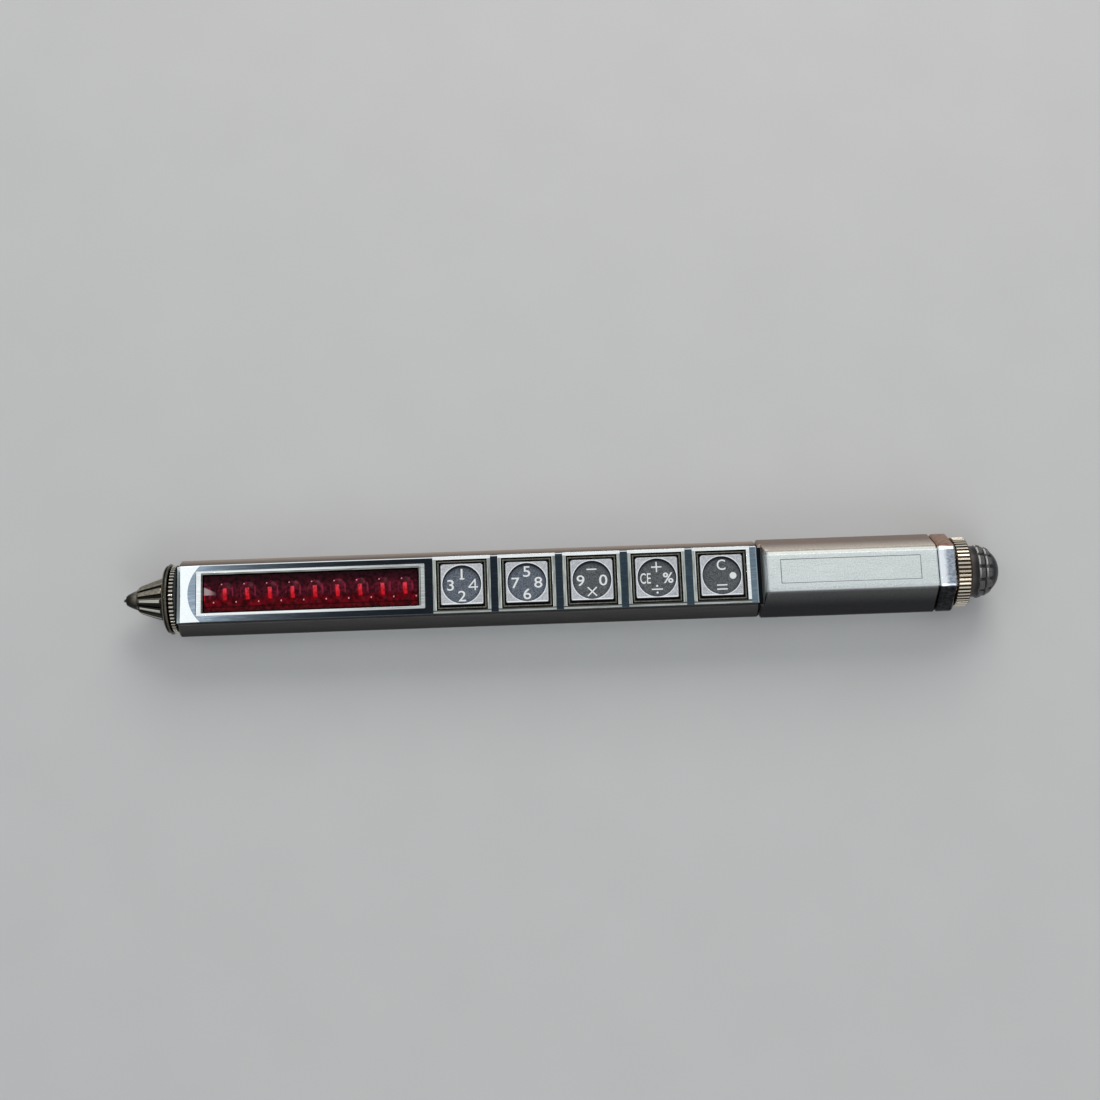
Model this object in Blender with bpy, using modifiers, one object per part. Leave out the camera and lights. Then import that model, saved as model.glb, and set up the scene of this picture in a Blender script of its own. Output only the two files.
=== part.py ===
"""A hexagonal ballpoint pen that is also a calculator, lying on one flat with its keys up.

The pen's axis runs along X, writing point at -X and switch dome at +X. Z is up, and z = 0 is the
surface that the rear barrel's lowest flat rests on. Heights named *_RISE are above the pen's axis.
"""
import math

import bmesh
import bpy
import numpy as np
from mathutils import Matrix, Vector

# Clearances
SEAT_GAP = 0.00015          # between pieces that rest on or butt against each other
RUN_GAP = 0.00025           # between pieces that move past each other
OVERRUN = 0.002             # how far a cutter passes the face that it opens
MERGE = 0.00001

# Button cells, and the hexagonal barrel and body sized round them
CELL_COUNT = 4
CELL_RADIUS = 0.0058
CELL_HEIGHT = 0.0054
CELL_ROOM = 0.0002
BARREL_WALL = 0.0005        # at the middle of a flat
BODY_STEP = 0.00025         # each flat of the front body lies this far below the barrel's
BODY_CORNER = 0.0006        # rounding of the long edges
BARREL_CORNER = 0.0008
END_CHAMFER = 0.0003

# Keys: a square bezel, a gimbal frame inside it, and a cap inside the frame
KEY_COUNT = 5
KEY_WEB = 0.00132           # plain strip between two bezels
BEZEL = 0.01043
BEZEL_BAR = 0.0006
GIMBAL_WALL = 0.00025
GIMBAL_HEIGHT = 0.001
CAP_GAP = 0.0003
CAP_HEIGHT = 0.00105
CAP_CORNER = 0.0009
CAP_EDGE = 0.00015
DIAL_MARGIN = 0.000365      # from the cap's edge to the dial
DIAL_RECESS = 0.0006
DIAL_THICK = 0.00015
DIAL_DISH = 0.00006
DIAL_RIM = 0.0003
GIMBAL_PIN_RADIUS = 0.0002
GIMBAL_PIN_REACH = 0.0005   # into the web between two keys
CAP_PIN_RADIUS = 0.00018
NUB_RADIUS = 0.00035
NUB_INSET = 0.001215        # from the cap's edge to each of its four contacts
NUB_TRAVEL = 0.0003         # from a nub at rest to the contact dome below it

# Face plate, along the pen from its front end
FLAT_RISE = 0.003           # milled flat of the body, which carries the plate
PLATE_THICK = 0.00125
BEZEL_STEP = 0.0003         # how far the bezels and the display frame stand on the plate
PLATE_NOSE = 0.00205        # from the front end to the tip of the round step
PLATE_ARC = 0.007           # radius of that step, seen from above
STEP_END_DROP = 0.00006     # height of the step where it meets the plate's long edges
STEP_SLOPE = math.radians(5)
PLATE_LIP = 0.00065         # length of the steep front chamfer
PLATE_LIP_FOOT = 0.00085    # the chamfer's foot is this far below the plate's top
PLATE_TO_DISPLAY = 0.0035
DISPLAY_WIDTH = 0.00832
DISPLAY_BAR = 0.00075
DISPLAY_END_BAR = 0.0013
DISPLAY_TO_KEYS = 0.0014
PLATE_REAR = 0.0013
FRAME_EDGE = 0.00018        # bevel round the display frame

# Digits under their lenses
DIGIT_COUNT = 9
DIGIT_PITCH = 0.00406
DIGITS_FRONT = 0.00328      # from the frame's front end to the first digit's place
DIGITS_REAR = 0.00158
DIGIT_CHIP = 0.0018
DIGIT_CHIP_THICK = 0.00015
STRIP_THICK = 0.0002
LENS_SPACE = 0.00066        # between two lenses
LENS_WIDTH = 0.0046
LENS_BASE = 0.0007
LENS_RISE = 0.0008          # height of each lens on its base
LENS_STEPS = 10

# Channel in the body, boards and chip
CHANNEL_WIDTH = 0.009
BOARD_THICK = 0.0005
LEDGE_DROP = 0.00115        # from the flat down to the boards' ledge
CHIP_ROOM = 0.0005          # beside the chip in its pocket
POCKET_DEPTH = 0.00205      # floor of the deep pockets, below the axis
FRONT_WALL = 0.0036         # solid end that the nose screws into
WEB_THICK = 0.0015          # wall between the refill's pocket and the chip's pocket
REAR_WALL = 0.0012
LEDGE_END = 0.0006          # the ledge under each end of the boards
CHIP_LENGTH = 0.014
CHIP_WIDTH = 0.0052
CHIP_THICK = 0.0014
CHIP_EDGE = 0.00015
SHEET_THICK = 0.0001        # the sheet that carries the snap domes
DOME_RADIUS = 0.0007
DOME_HEIGHT = 0.00022
DOME_TOP = 0.00035

# Refill, its guide and its spring
POINT_OUT = 0.0006          # bare point in front of the nose
POINT_RADIUS = 0.00042
POINT_BALL = 0.00016        # length of the rounded end
POINT_BALL_RADIUS = 0.00024
POINT_NECK = 0.003
POINT_TAPER = 0.0035
POINT_LENGTH = 0.0095
REFILL_RADIUS = 0.00115
REFILL_LENGTH = 0.067
GUIDE_WALL = 0.0003
REFILL_SPRING_LENGTH = 0.005
REFILL_SPRING_TURNS = 4
REFILL_WIRE = 0.0001

# Nose: cone, rim and knurled ring on one threaded stub
CONE_LENGTH = 0.0073
CONE_FRONT = 0.00085
CONE_BASE = 0.0037
CONE_SMOOTH = 0.0021        # plain front part, before the ribs
CONE_FLARE_SHARE = 0.42     # how far along the cone's radius has grown half way
NOSE_MOUTH = 0.00058
RIB_COUNT = 12
RIB_HEIGHT = 0.00038
RIB_MARGIN = 0.00012
OUTER_SHARE = 0.9           # faces nearer the axis than this share belong to the bore
RIM_STEP_IN = 0.00005       # how far the rim stays inside the barrel's flats
RIM_BEAD = 0.00035          # height of the rim's two beads
RIM_SLOPE = 0.00015         # along the pen, from a bead's foot to its crest
RIM_CREST = 0.0002
RIM_STEP = 0.0003           # the front bead is this much smaller
NOSE_RING_WIDTH = 0.00105
NOSE_RING_STEP_IN = 0.0003
STUB_RADIUS = 0.0029
STUB_REACH = 0.003

# Knurling on both rings
KNURL_TEETH = 52
KNURL_DEPTH = 0.0003
KNURL_MARGIN = 0.00004

# Rear barrel with the notch behind the plate's end
BARREL_START = 0.0004       # the barrel's sides start this far behind the plate's rear end
SHOULDER_GAP = 0.001        # from the plate's end to the foot of the shoulder
SHOULDER_RUN = 0.0009       # how far the shoulder leans back up to the top flat
SPIGOT_LENGTH = 0.0026

# The cells' shape and their contacts
CELL_CAP_RADIUS = 0.0046
CELL_CAP = 0.0007
CELL_EDGE = 0.0003
INSULATOR_THICK = 0.0008
CONTACT_RADIUS = 0.0045
CONTACT_THICK = 0.0003
LEAD_RADIUS = 0.0003
LEAD_SIDE = 0.0022          # the lead lies this far beside the axis
LEAD_BEND = 0.0007
CELL_SPRING_LENGTH = 0.00415
SPRING_TURNS = 3.5
SPRING_FRONT_RADIUS = 0.0022
SPRING_REAR_RADIUS = 0.0042
SPRING_WIRE = 0.00025
CUP_THICK = 0.0004

# Rear end: collar, knurled ring, switch dome
COLLAR_LENGTH = 0.0031
COLLAR_CORNER = 0.001
RING_WIDTH = 0.0028
RING_STEP_IN = 0.00015
RING_CHAMFER = 0.0003
RING_STUB_REACH = 0.0042
RING_STUB_WALL = 0.0007
RING_WEB = 0.001            # the ring's wall that the dome's axle runs through
DOME_BASE = 0.0047
DOME_LENGTH = 0.0059
DOME_NECK = 0.0003
DOME_ROUNDNESS = 2.3        # power of the curve that closes the dome
DOME_TOP_SHARES = (1, 0.985, 0.94, 0.84)        # of the dome's length
PAD_ROW_SHARES = ((0.715, 0.485), (0.45, 0.247))
PAD_COLUMNS = 12
PAD_HEIGHT = 0.00028
PAD_MARGIN = 0.00018
AXLE_RADIUS = 0.0016
WIPER_RADIUS = 0.0036
WIPER_THICK = 0.0005

TURN_STEPS = 36
SMALL_STEPS = 20
PIN_STEPS = 6
ARC_STEPS = 6
WIRE_STEPS = 10             # points in one turn of a spring

# Radii and half widths, worked out
BARREL_BORE = CELL_RADIUS + CELL_ROOM
BARREL_APOTHEM = BARREL_BORE + BARREL_WALL
BODY_APOTHEM = BARREL_APOTHEM - BODY_STEP
RIM_RADIUS = BARREL_APOTHEM - RIM_STEP_IN
NOSE_RING_RADIUS = BARREL_APOTHEM - NOSE_RING_STEP_IN
RING_RADIUS = BARREL_APOTHEM - RING_STEP_IN
AXIS_Z = BARREL_APOTHEM
KEY_OPENING = BEZEL / 2 - BEZEL_BAR
GIMBAL_OUTER = KEY_OPENING - RUN_GAP
GIMBAL_INNER = GIMBAL_OUTER - GIMBAL_WALL
CAP_HALF = GIMBAL_INNER - CAP_GAP
DIAL_RADIUS = CAP_HALF - DIAL_MARGIN
NUB_OFFSET = CAP_HALF - NUB_INSET
LENS_LENGTH = DIGIT_PITCH - LENS_SPACE
POCKET_WIDTH = CHIP_WIDTH + CHIP_ROOM * 2

# Stations along the pen, worked out from the lengths above
KEY_PITCH = BEZEL + KEY_WEB
KEY_SPAN = (KEY_COUNT - 1) * KEY_PITCH + BEZEL
DISPLAY_LENGTH = DIGITS_FRONT + DIGIT_COUNT * DIGIT_PITCH + DIGITS_REAR
PLATE_LENGTH = PLATE_TO_DISPLAY + DISPLAY_LENGTH + DISPLAY_TO_KEYS + KEY_SPAN + PLATE_REAR
RIM_WIDTH = RIM_SLOPE * 4 + RIM_CREST * 2
NOSE_LENGTH = POINT_OUT + CONE_LENGTH + RIM_WIDTH + NOSE_RING_WIDTH + SEAT_GAP * 3
CELL_STACK = INSULATOR_THICK + CONTACT_THICK + CELL_COUNT * (CELL_HEIGHT + SEAT_GAP) + SEAT_GAP * 3
BARREL_LENGTH = (SPIGOT_LENGTH + CELL_STACK + CELL_SPRING_LENGTH + CUP_THICK
                 + RING_STUB_REACH - COLLAR_LENGTH)
REAR_LENGTH = COLLAR_LENGTH + RING_WIDTH + DOME_LENGTH + SEAT_GAP * 3
OVERALL = NOSE_LENGTH + PLATE_LENGTH + BARREL_START + BARREL_LENGTH + REAR_LENGTH

X_TIP = -OVERALL / 2
X_CONE = X_TIP + POINT_OUT
X_RIM = X_CONE + CONE_LENGTH + SEAT_GAP
X_NOSE_RING = X_RIM + RIM_WIDTH + SEAT_GAP
X_BODY = X_NOSE_RING + NOSE_RING_WIDTH + SEAT_GAP
X_STEP = X_BODY + PLATE_NOSE
X_DISPLAY = X_BODY + PLATE_TO_DISPLAY
X_KEYS = X_DISPLAY + DISPLAY_LENGTH + DISPLAY_TO_KEYS + BEZEL / 2
X_PLATE_END = X_BODY + PLATE_LENGTH
X_BARREL = X_PLATE_END + BARREL_START
X_COLLAR = X_BARREL + BARREL_LENGTH + SEAT_GAP
X_RING = X_COLLAR + COLLAR_LENGTH + SEAT_GAP
X_DOME = X_RING + RING_WIDTH + SEAT_GAP
X_SPIGOT_END = X_BARREL + SPIGOT_LENGTH
X_REFILL_END = X_TIP + REFILL_LENGTH
X_SPRING_END = X_REFILL_END + SEAT_GAP + REFILL_SPRING_LENGTH
X_WEB = X_SPRING_END + SEAT_GAP
X_CHANNEL = X_BODY + FRONT_WALL

# Heights above the axis, worked out
PLATE_FOOT = FLAT_RISE + SEAT_GAP
PLATE_RISE = PLATE_FOOT + PLATE_THICK
BEZEL_RISE = PLATE_RISE + BEZEL_STEP
LEDGE_RISE = FLAT_RISE - LEDGE_DROP
PIVOT_RISE = PLATE_FOOT + GIMBAL_HEIGHT - RUN_GAP
BOARD_FOOT = LEDGE_RISE + SEAT_GAP
BOARD_TOP = BOARD_FOOT + BOARD_THICK
CONTACT_TOP = BOARD_TOP + SEAT_GAP + SHEET_THICK + DOME_HEIGHT

HEX_CORNER_SHARE = 1 / math.cos(math.pi / 6)

for old in list(bpy.data.objects):
    bpy.data.objects.remove(old, do_unlink=True)

PARTS = bpy.data.collections.new("calculator_pen")
CUTTERS = bpy.data.collections.new("cutters")
for group in (PARTS, CUTTERS):
    bpy.context.scene.collection.children.link(group)


def material(name, colour, roughness, metallic):
    """A Principled BSDF material of one colour."""
    made = bpy.data.materials.new(name)
    made.use_nodes = True
    shader = made.node_tree.nodes["Principled BSDF"]
    shader.inputs["Base Color"].default_value = (*colour, 1)
    shader.inputs["Roughness"].default_value = roughness
    shader.inputs["Metallic"].default_value = metallic
    return made


SATIN = material("satin_aluminium", (0.66, 0.66, 0.64), 0.38, 1)
CHROME = material("polished_chrome", (0.72, 0.76, 0.8), 0.08, 1)
KEY_SATIN = material("satin_key", (0.62, 0.62, 0.6), 0.32, 1)
DIAL_DARK = material("dark_dial", (0.035, 0.037, 0.04), 0.45, 0)
NOSE_DARK = material("gunmetal", (0.09, 0.085, 0.08), 0.3, 0.8)
RED_LENS = material("red_lens", (0.35, 0.004, 0.01), 0.08, 0)
LED_DIE = material("led_die", (0.75, 0.1, 0.08), 0.4, 0)
BOARD = material("board_green", (0.03, 0.16, 0.06), 0.5, 0)
CHIP = material("chip_black", (0.02, 0.02, 0.022), 0.5, 0)
BRASS = material("brass", (0.6, 0.42, 0.16), 0.3, 1)
STEEL = material("steel", (0.55, 0.55, 0.56), 0.3, 1)
PLASTIC = material("dark_plastic", (0.03, 0.03, 0.035), 0.3, 0)
INK = material("ink_tube", (0.02, 0.03, 0.12), 0.35, 0)


def place(obj, finish, location=(0, 0, 0), angle=35):
    """Put a finished piece in the parts' collection, smooth where it is round."""
    PARTS.objects.link(obj)
    obj.location = location
    obj.data.materials.clear()
    obj.data.materials.append(finish)
    obj.data.shade_smooth()
    obj.data.set_sharp_from_angle(angle=math.radians(angle))
    return obj


def from_bmesh(name, bm):
    """An unlinked object that holds a bmesh's result."""
    mesh = bpy.data.meshes.new(name)
    bmesh.ops.recalc_face_normals(bm, faces=bm.faces)
    bm.to_mesh(mesh)
    bm.free()
    return bpy.data.objects.new(name, mesh)


def bake(obj):
    """The object's mesh with its modifiers applied, under the same name."""
    scratch = obj.name not in bpy.context.scene.objects
    if scratch:
        CUTTERS.objects.link(obj)
    evaluated = obj.evaluated_get(bpy.context.evaluated_depsgraph_get())
    mesh = bpy.data.meshes.new_from_object(evaluated)
    name = obj.name
    bpy.data.objects.remove(obj, do_unlink=True)
    mesh.name = name
    return bpy.data.objects.new(name, mesh)


def box(name, low, high):
    """A box between two corners."""
    size = Vector(high) - Vector(low)
    middle = (Vector(high) + Vector(low)) / 2
    bm = bmesh.new()
    bmesh.ops.create_cube(bm, size=1, matrix=Matrix.Translation(middle) @ Matrix.Diagonal((*size, 1)))
    return from_bmesh(name, bm)


def cylinder(name, radius, start, end, steps=SMALL_STEPS):
    """A cylinder between two points."""
    start, end = Vector(start), Vector(end)
    turn = (end - start).to_track_quat("Z", "Y").to_matrix().to_4x4()
    bm = bmesh.new()
    bmesh.ops.create_cone(bm, cap_ends=True, segments=steps, radius1=radius, radius2=radius,
                          depth=(end - start).length, matrix=Matrix.Translation((start + end) / 2) @ turn)
    return from_bmesh(name, bm)


def turned(name, profile, steps=TURN_STEPS, closed=False):
    """A piece turned about the pen's axis; the profile's (along, radius) points run rear to front."""
    last = len(profile) - 1
    edges = [(i, i + 1) for i in range(last)] + ([(last, 0)] if closed else [])
    mesh = bpy.data.meshes.new(name)
    mesh.from_pydata([(radius, 0, along) for along, radius in profile], edges, [])
    obj = bpy.data.objects.new(name, mesh)
    screw = obj.modifiers.new("turn", "SCREW")
    screw.axis = "Z"
    screw.steps = screw.render_steps = steps
    screw.use_merge_vertices = True
    screw.merge_threshold = MERGE
    obj = bake(obj)
    obj.data.transform(Matrix.Rotation(math.pi / 2, 4, "Y"))
    return obj


def outline(name, points, low_y, high_y):
    """A flat outline in the XZ plane, given thickness along Y."""
    curve = bpy.data.curves.new(name, "CURVE")
    curve.dimensions = "2D"
    curve.fill_mode = "BOTH"
    curve.extrude = (high_y - low_y) / 2
    spline = curve.splines.new("POLY")
    spline.points.add(len(points) - 1)
    for point, (x, z) in zip(spline.points, points):
        point.co = (x, z, 0, 1)
    spline.use_cyclic_u = True
    obj = bake(bpy.data.objects.new(name, curve))
    bm = bmesh.new()
    bm.from_mesh(obj.data)
    bmesh.ops.remove_doubles(bm, verts=bm.verts, dist=MERGE)
    stand = Matrix.Translation((0, (low_y + high_y) / 2, 0)) @ Matrix.Rotation(math.pi / 2, 4, "X")
    bmesh.ops.transform(bm, matrix=stand, verts=bm.verts)
    bpy.data.objects.remove(obj, do_unlink=True)
    return from_bmesh(name, bm)


def change(obj, tools, operation="DIFFERENCE"):
    """Cut a piece with, or join it to, each of the given solids, which move with it."""
    for tool in tools:
        CUTTERS.objects.link(tool)
        tool.parent = obj
        tool.hide_render = True
        tool.display_type = "WIRE"
        boolean = obj.modifiers.new(operation.lower(), "BOOLEAN")
        boolean.operation = operation
        boolean.solver = "EXACT"
        boolean.object = tool
    weld = obj.modifiers.new("weld", "WELD")
    weld.merge_threshold = MERGE
    return obj


def soften(obj, width, segments=1, angle=40):
    """Break the sharp edges of a piece."""
    bevel = obj.modifiers.new("edges", "BEVEL")
    bevel.width = width
    bevel.segments = segments
    bevel.limit_method = "ANGLE"
    bevel.angle_limit = math.radians(angle)
    return obj


def hex_bar(name, apothem, length, corner):
    """A hexagonal bar from x = 0, one flat up, its six long edges rounded."""
    radius = apothem * HEX_CORNER_SHARE
    bm = bmesh.new()
    lay = Matrix.Translation((length / 2, 0, 0)) @ Matrix.Rotation(math.pi / 2, 4, "Y")
    bmesh.ops.create_cone(bm, cap_ends=True, segments=6, radius1=radius, radius2=radius,
                          depth=length, matrix=lay)
    long_edges = [e for e in bm.edges if abs(e.verts[0].co.x - e.verts[1].co.x) > length / 2]
    bmesh.ops.bevel(bm, geom=long_edges, offset=corner, segments=3, profile=0.5, affect="EDGES")
    return from_bmesh(name, bm)


def raise_patches(obj, patch_of, margin, height):
    """Raise each group of faces that patch_of gives the same key, with sloping sides all round."""
    bm = bmesh.new()
    bm.from_mesh(obj.data)
    groups = {}
    for face in bm.faces:
        key = patch_of(face.calc_center_median())
        if key is not None:
            groups.setdefault(key, []).append(face)
    for key in sorted(groups):
        bmesh.ops.inset_region(bm, faces=groups[key], thickness=margin, depth=height,
                               use_boundary=True, use_even_offset=True)
    bm.to_mesh(obj.data)
    bm.free()
    return obj


def around(point, count):
    """Which of count equal sectors round the pen's axis a point lies in."""
    return int((math.atan2(point.z, point.y) / (2 * math.pi) % 1) * count)


def knurled(name, width, radius, bore, chamfer):
    """A bored ring whose rim carries a tooth over every second step of the turn."""
    root = radius - KNURL_DEPTH
    steps = KNURL_TEETH * 2
    ring = turned(name, [(width, root - chamfer), (width - chamfer, root), (chamfer, root),
                         (0, root - chamfer)], steps)
    bm = bmesh.new()
    bm.from_mesh(ring.data)
    bmesh.ops.holes_fill(bm, edges=[e for e in bm.edges if e.is_boundary])
    bm.to_mesh(ring.data)
    bm.free()

    def tooth(point):
        on_rim = chamfer < point.x < width - chamfer and math.hypot(point.y, point.z) > root - chamfer / 2
        sector = around(point, steps)
        return sector if on_rim and sector % 2 == 0 else None

    raise_patches(ring, tooth, KNURL_MARGIN, KNURL_DEPTH)
    return change(ring, [cylinder("ring_bore", bore, (-width, 0, 0), (width * 2, 0, 0), TURN_STEPS)])


def coil_points(turns, start, end, start_radius, end_radius):
    """Points along a coil whose radius may grow from its start to its end."""
    count = int(turns * WIRE_STEPS)
    for i in range(count + 1):
        share = i / count
        angle = 2 * math.pi * turns * share
        radius = start_radius + (end_radius - start_radius) * share
        yield (start + (end - start) * share, radius * math.cos(angle), radius * math.sin(angle))


def least_gap(points, wire):
    """The least clear distance between two turns of a coil, centre line to centre line less wire."""
    places = np.array(points)
    far = WIRE_STEPS // 2
    gaps = [np.linalg.norm(places[i + far:] - places[i], axis=1).min()
            for i in range(len(places) - far)]
    return min(gaps) - 2 * wire


def wire(name, points, radius, finish, resolution=1):
    """A round wire along the given points, its ends capped."""
    curve = bpy.data.curves.new(name, "CURVE")
    curve.dimensions = "3D"
    curve.bevel_depth = radius
    curve.bevel_resolution = resolution
    curve.use_fill_caps = True
    spline = curve.splines.new("POLY")
    spline.points.add(len(points) - 1)
    for point, place_at in zip(spline.points, points):
        point.co = (*place_at, 1)
    obj = bake(bpy.data.objects.new(name, curve))
    bm = bmesh.new()
    bm.from_mesh(obj.data)
    bmesh.ops.remove_doubles(bm, verts=bm.verts, dist=MERGE)
    bpy.data.objects.remove(obj, do_unlink=True)
    return place(from_bmesh(name, bm), finish, (0, 0, AXIS_Z), 60)


def refill():
    """The ball point, its ink tube, the guide that it slides in and the spring behind it."""
    neck = POINT_NECK + POINT_TAPER
    point = turned("writing_point", [
        (POINT_LENGTH, 0), (POINT_LENGTH, REFILL_RADIUS), (neck, REFILL_RADIUS),
        (POINT_NECK, POINT_RADIUS), (POINT_OUT, POINT_RADIUS), (POINT_BALL, POINT_BALL_RADIUS), (0, 0),
    ], SMALL_STEPS)
    place(point, PLASTIC, (X_TIP, 0, AXIS_Z))
    tube_start = X_TIP + POINT_LENGTH + SEAT_GAP
    tube = cylinder("refill_tube", REFILL_RADIUS, (0, 0, 0), (X_REFILL_END - tube_start, 0, 0), SMALL_STEPS)
    place(tube, INK, (tube_start, 0, AXIS_Z))
    inner = REFILL_RADIUS + RUN_GAP
    length = X_WEB - X_CHANNEL - SEAT_GAP
    outer = inner + GUIDE_WALL
    guide = turned("refill_guide", [(length, inner), (length, outer), (0, outer), (0, inner)],
                   SMALL_STEPS, closed=True)
    place(guide, BRASS, (X_CHANNEL + SEAT_GAP / 2, 0, AXIS_Z))
    start = X_REFILL_END + SEAT_GAP + REFILL_WIRE
    end = X_SPRING_END - REFILL_WIRE
    middle = REFILL_RADIUS - REFILL_WIRE
    points = list(coil_points(REFILL_SPRING_TURNS, start, end, middle, middle))
    print("refill_spring least gap", round(least_gap(points, REFILL_WIRE), 6))
    wire("refill_spring", points, REFILL_WIRE, STEEL)


def cone_radius(share):
    """The nose's outer radius at a share of its length, slightly hollow towards the front."""
    bend = math.log(CONE_FLARE_SHARE) / math.log(0.5)
    return CONE_FRONT + (CONE_BASE - CONE_FRONT) * share ** bend


def nose():
    """The ribbed cone on its threaded stub, and the rim and the knurled ring that sit on the stub."""
    reach = CONE_LENGTH + RIM_WIDTH + NOSE_RING_WIDTH + SEAT_GAP * 3 + STUB_REACH
    inner = REFILL_RADIUS + RUN_GAP
    rear_shares = (1, 0.82, 0.62, CONE_SMOOTH / CONE_LENGTH, 0.12, 0)
    outside = [(CONE_LENGTH * share, cone_radius(share)) for share in rear_shares]
    throat = POINT_NECK - POINT_OUT
    profile = [(reach, inner), (reach, STUB_RADIUS), (CONE_LENGTH, STUB_RADIUS), *outside,
               (0, NOSE_MOUTH), (throat - RUN_GAP, NOSE_MOUTH), (throat + POINT_TAPER - RUN_GAP, inner)]
    cone = turned("nose_cone", profile, RIB_COUNT * 3, closed=True)

    def rib(point):
        if not CONE_SMOOTH < point.x < CONE_LENGTH:
            return None
        outer = math.hypot(point.y, point.z) > cone_radius(point.x / CONE_LENGTH) * OUTER_SHARE
        sector = around(point, RIB_COUNT * 3)
        return sector // 3 if outer and sector % 3 else None

    raise_patches(cone, rib, RIB_MARGIN, RIB_HEIGHT)
    place(cone, NOSE_DARK, (X_CONE, 0, AXIS_Z))
    bore = STUB_RADIUS + SEAT_GAP
    front = RIM_RADIUS - RIM_STEP
    groove = RIM_RADIUS - RIM_BEAD - RIM_STEP / 2
    middle = RIM_SLOPE * 2 + RIM_CREST
    rim = turned("nose_rim", [
        (RIM_WIDTH, bore), (RIM_WIDTH, groove), (RIM_WIDTH - RIM_SLOPE, RIM_RADIUS),
        (middle + RIM_SLOPE, RIM_RADIUS), (middle, groove), (middle - RIM_SLOPE, front),
        (RIM_SLOPE, front), (0, groove), (0, bore),
    ], TURN_STEPS, closed=True)
    place(rim, NOSE_DARK, (X_RIM, 0, AXIS_Z))
    ring = knurled("nose_ring", NOSE_RING_WIDTH, NOSE_RING_RADIUS, bore, SEAT_GAP)
    place(ring, NOSE_DARK, (X_NOSE_RING, 0, AXIS_Z), 20)


def notch(start):
    """The cutter that mills a flat on a piece that starts there, as far as the leaning shoulder."""
    foot = X_PLATE_END + SHOULDER_GAP - start
    side = BARREL_APOTHEM + END_CHAMFER
    angles = np.linspace(0, math.pi / 2, ARC_STEPS)
    arc = [(foot + SHOULDER_RUN * (1 - math.cos(a)), FLAT_RISE + (side - FLAT_RISE) * math.sin(a))
           for a in angles]
    return outline("notch", [(-OVERRUN, FLAT_RISE), *arc, (foot + SHOULDER_RUN, side + OVERRUN),
                             (-OVERRUN, side + OVERRUN)], -side - OVERRUN, side + OVERRUN)


def front_body():
    """The hexagonal body: a flat milled for the plate, a channel for the boards, pockets below."""
    length = X_BARREL - SEAT_GAP - X_BODY
    end = X_SPIGOT_END - X_BODY
    body = hex_bar("front_body", BODY_APOTHEM, length, BODY_CORNER)
    soften(body, END_CHAMFER, angle=70)
    spigot_radius = BARREL_BORE - SEAT_GAP
    change(body, [cylinder("spigot", spigot_radius, (length - OVERRUN, 0, 0), (end, 0, 0), TURN_STEPS)],
           "UNION")
    half = CHANNEL_WIDTH / 2
    pocket = POCKET_WIDTH / 2
    channel = X_CHANNEL - X_BODY
    web = X_WEB - X_BODY
    channel_end = PLATE_LENGTH - REAR_WALL
    bore = STUB_RADIUS + SEAT_GAP
    over = FLAT_RISE + OVERRUN
    change(body, [
        notch(X_BODY),
        box("channel", (channel, -half, LEDGE_RISE), (channel_end, half, over)),
        box("refill_pocket", (channel + LEDGE_END, -pocket, -POCKET_DEPTH), (web, pocket, over)),
        box("chip_pocket", (web + WEB_THICK, -pocket, -POCKET_DEPTH),
            (channel_end - LEDGE_END, pocket, over)),
        cylinder("nose_bore", bore, (-OVERRUN, 0, 0), (channel + OVERRUN, 0, 0), SMALL_STEPS),
        cylinder("lead_hole", LEAD_RADIUS + RUN_GAP, (channel_end - OVERRUN, LEAD_SIDE, 0),
                 (end + OVERRUN, LEAD_SIDE, 0), PIN_STEPS),
    ])
    place(body, SATIN, (X_BODY, 0, AXIS_Z))


def key_places():
    """The centre of each key along the pen."""
    return [X_KEYS + i * KEY_PITCH for i in range(KEY_COUNT)]


def plate_outline():
    """The plate's side view: a strip with the five bezels standing on it."""
    points = [(X_BODY, PLATE_FOOT), (X_BODY, PLATE_RISE)]
    for x in key_places():
        start, end = x - BEZEL / 2, x + BEZEL / 2
        points += [(start, PLATE_RISE), (start, BEZEL_RISE), (end, BEZEL_RISE), (end, PLATE_RISE)]
    return points + [(X_PLATE_END, PLATE_RISE), (X_PLATE_END, PLATE_FOOT)]


def front_cutters():
    """What leaves the plate's front end: a sloping plane as far as a round step, and a steep lip."""
    half = BEZEL / 2 + OVERRUN / 2
    high = PLATE_RISE + OVERRUN
    centre = X_STEP + PLATE_ARC
    step_end = centre - math.sqrt(PLATE_ARC ** 2 - (BEZEL / 2) ** 2)
    slope = math.tan(STEP_SLOPE)
    rear = X_STEP + PLATE_ARC / 2

    def level(x):
        return PLATE_RISE - STEP_END_DROP - (step_end - x) * slope

    ahead = X_BODY - OVERRUN
    plane = outline("front_plane", [(ahead, high), (ahead, level(ahead)), (rear, level(rear)),
                                    (rear, high)], -half, half)
    change(plane, [cylinder("step", PLATE_ARC, (centre, 0, 0), (centre, 0, high + OVERRUN),
                            TURN_STEPS * 2)])
    lip_end = X_BODY + PLATE_LIP
    foot = PLATE_RISE - PLATE_LIP_FOOT
    steep = (level(lip_end) - foot) / PLATE_LIP
    lip = outline("front_lip", [(ahead, high), (ahead, foot - OVERRUN * steep), (lip_end, level(lip_end)),
                                (lip_end, high)], -half, half)
    return [plane, lip]


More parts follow.
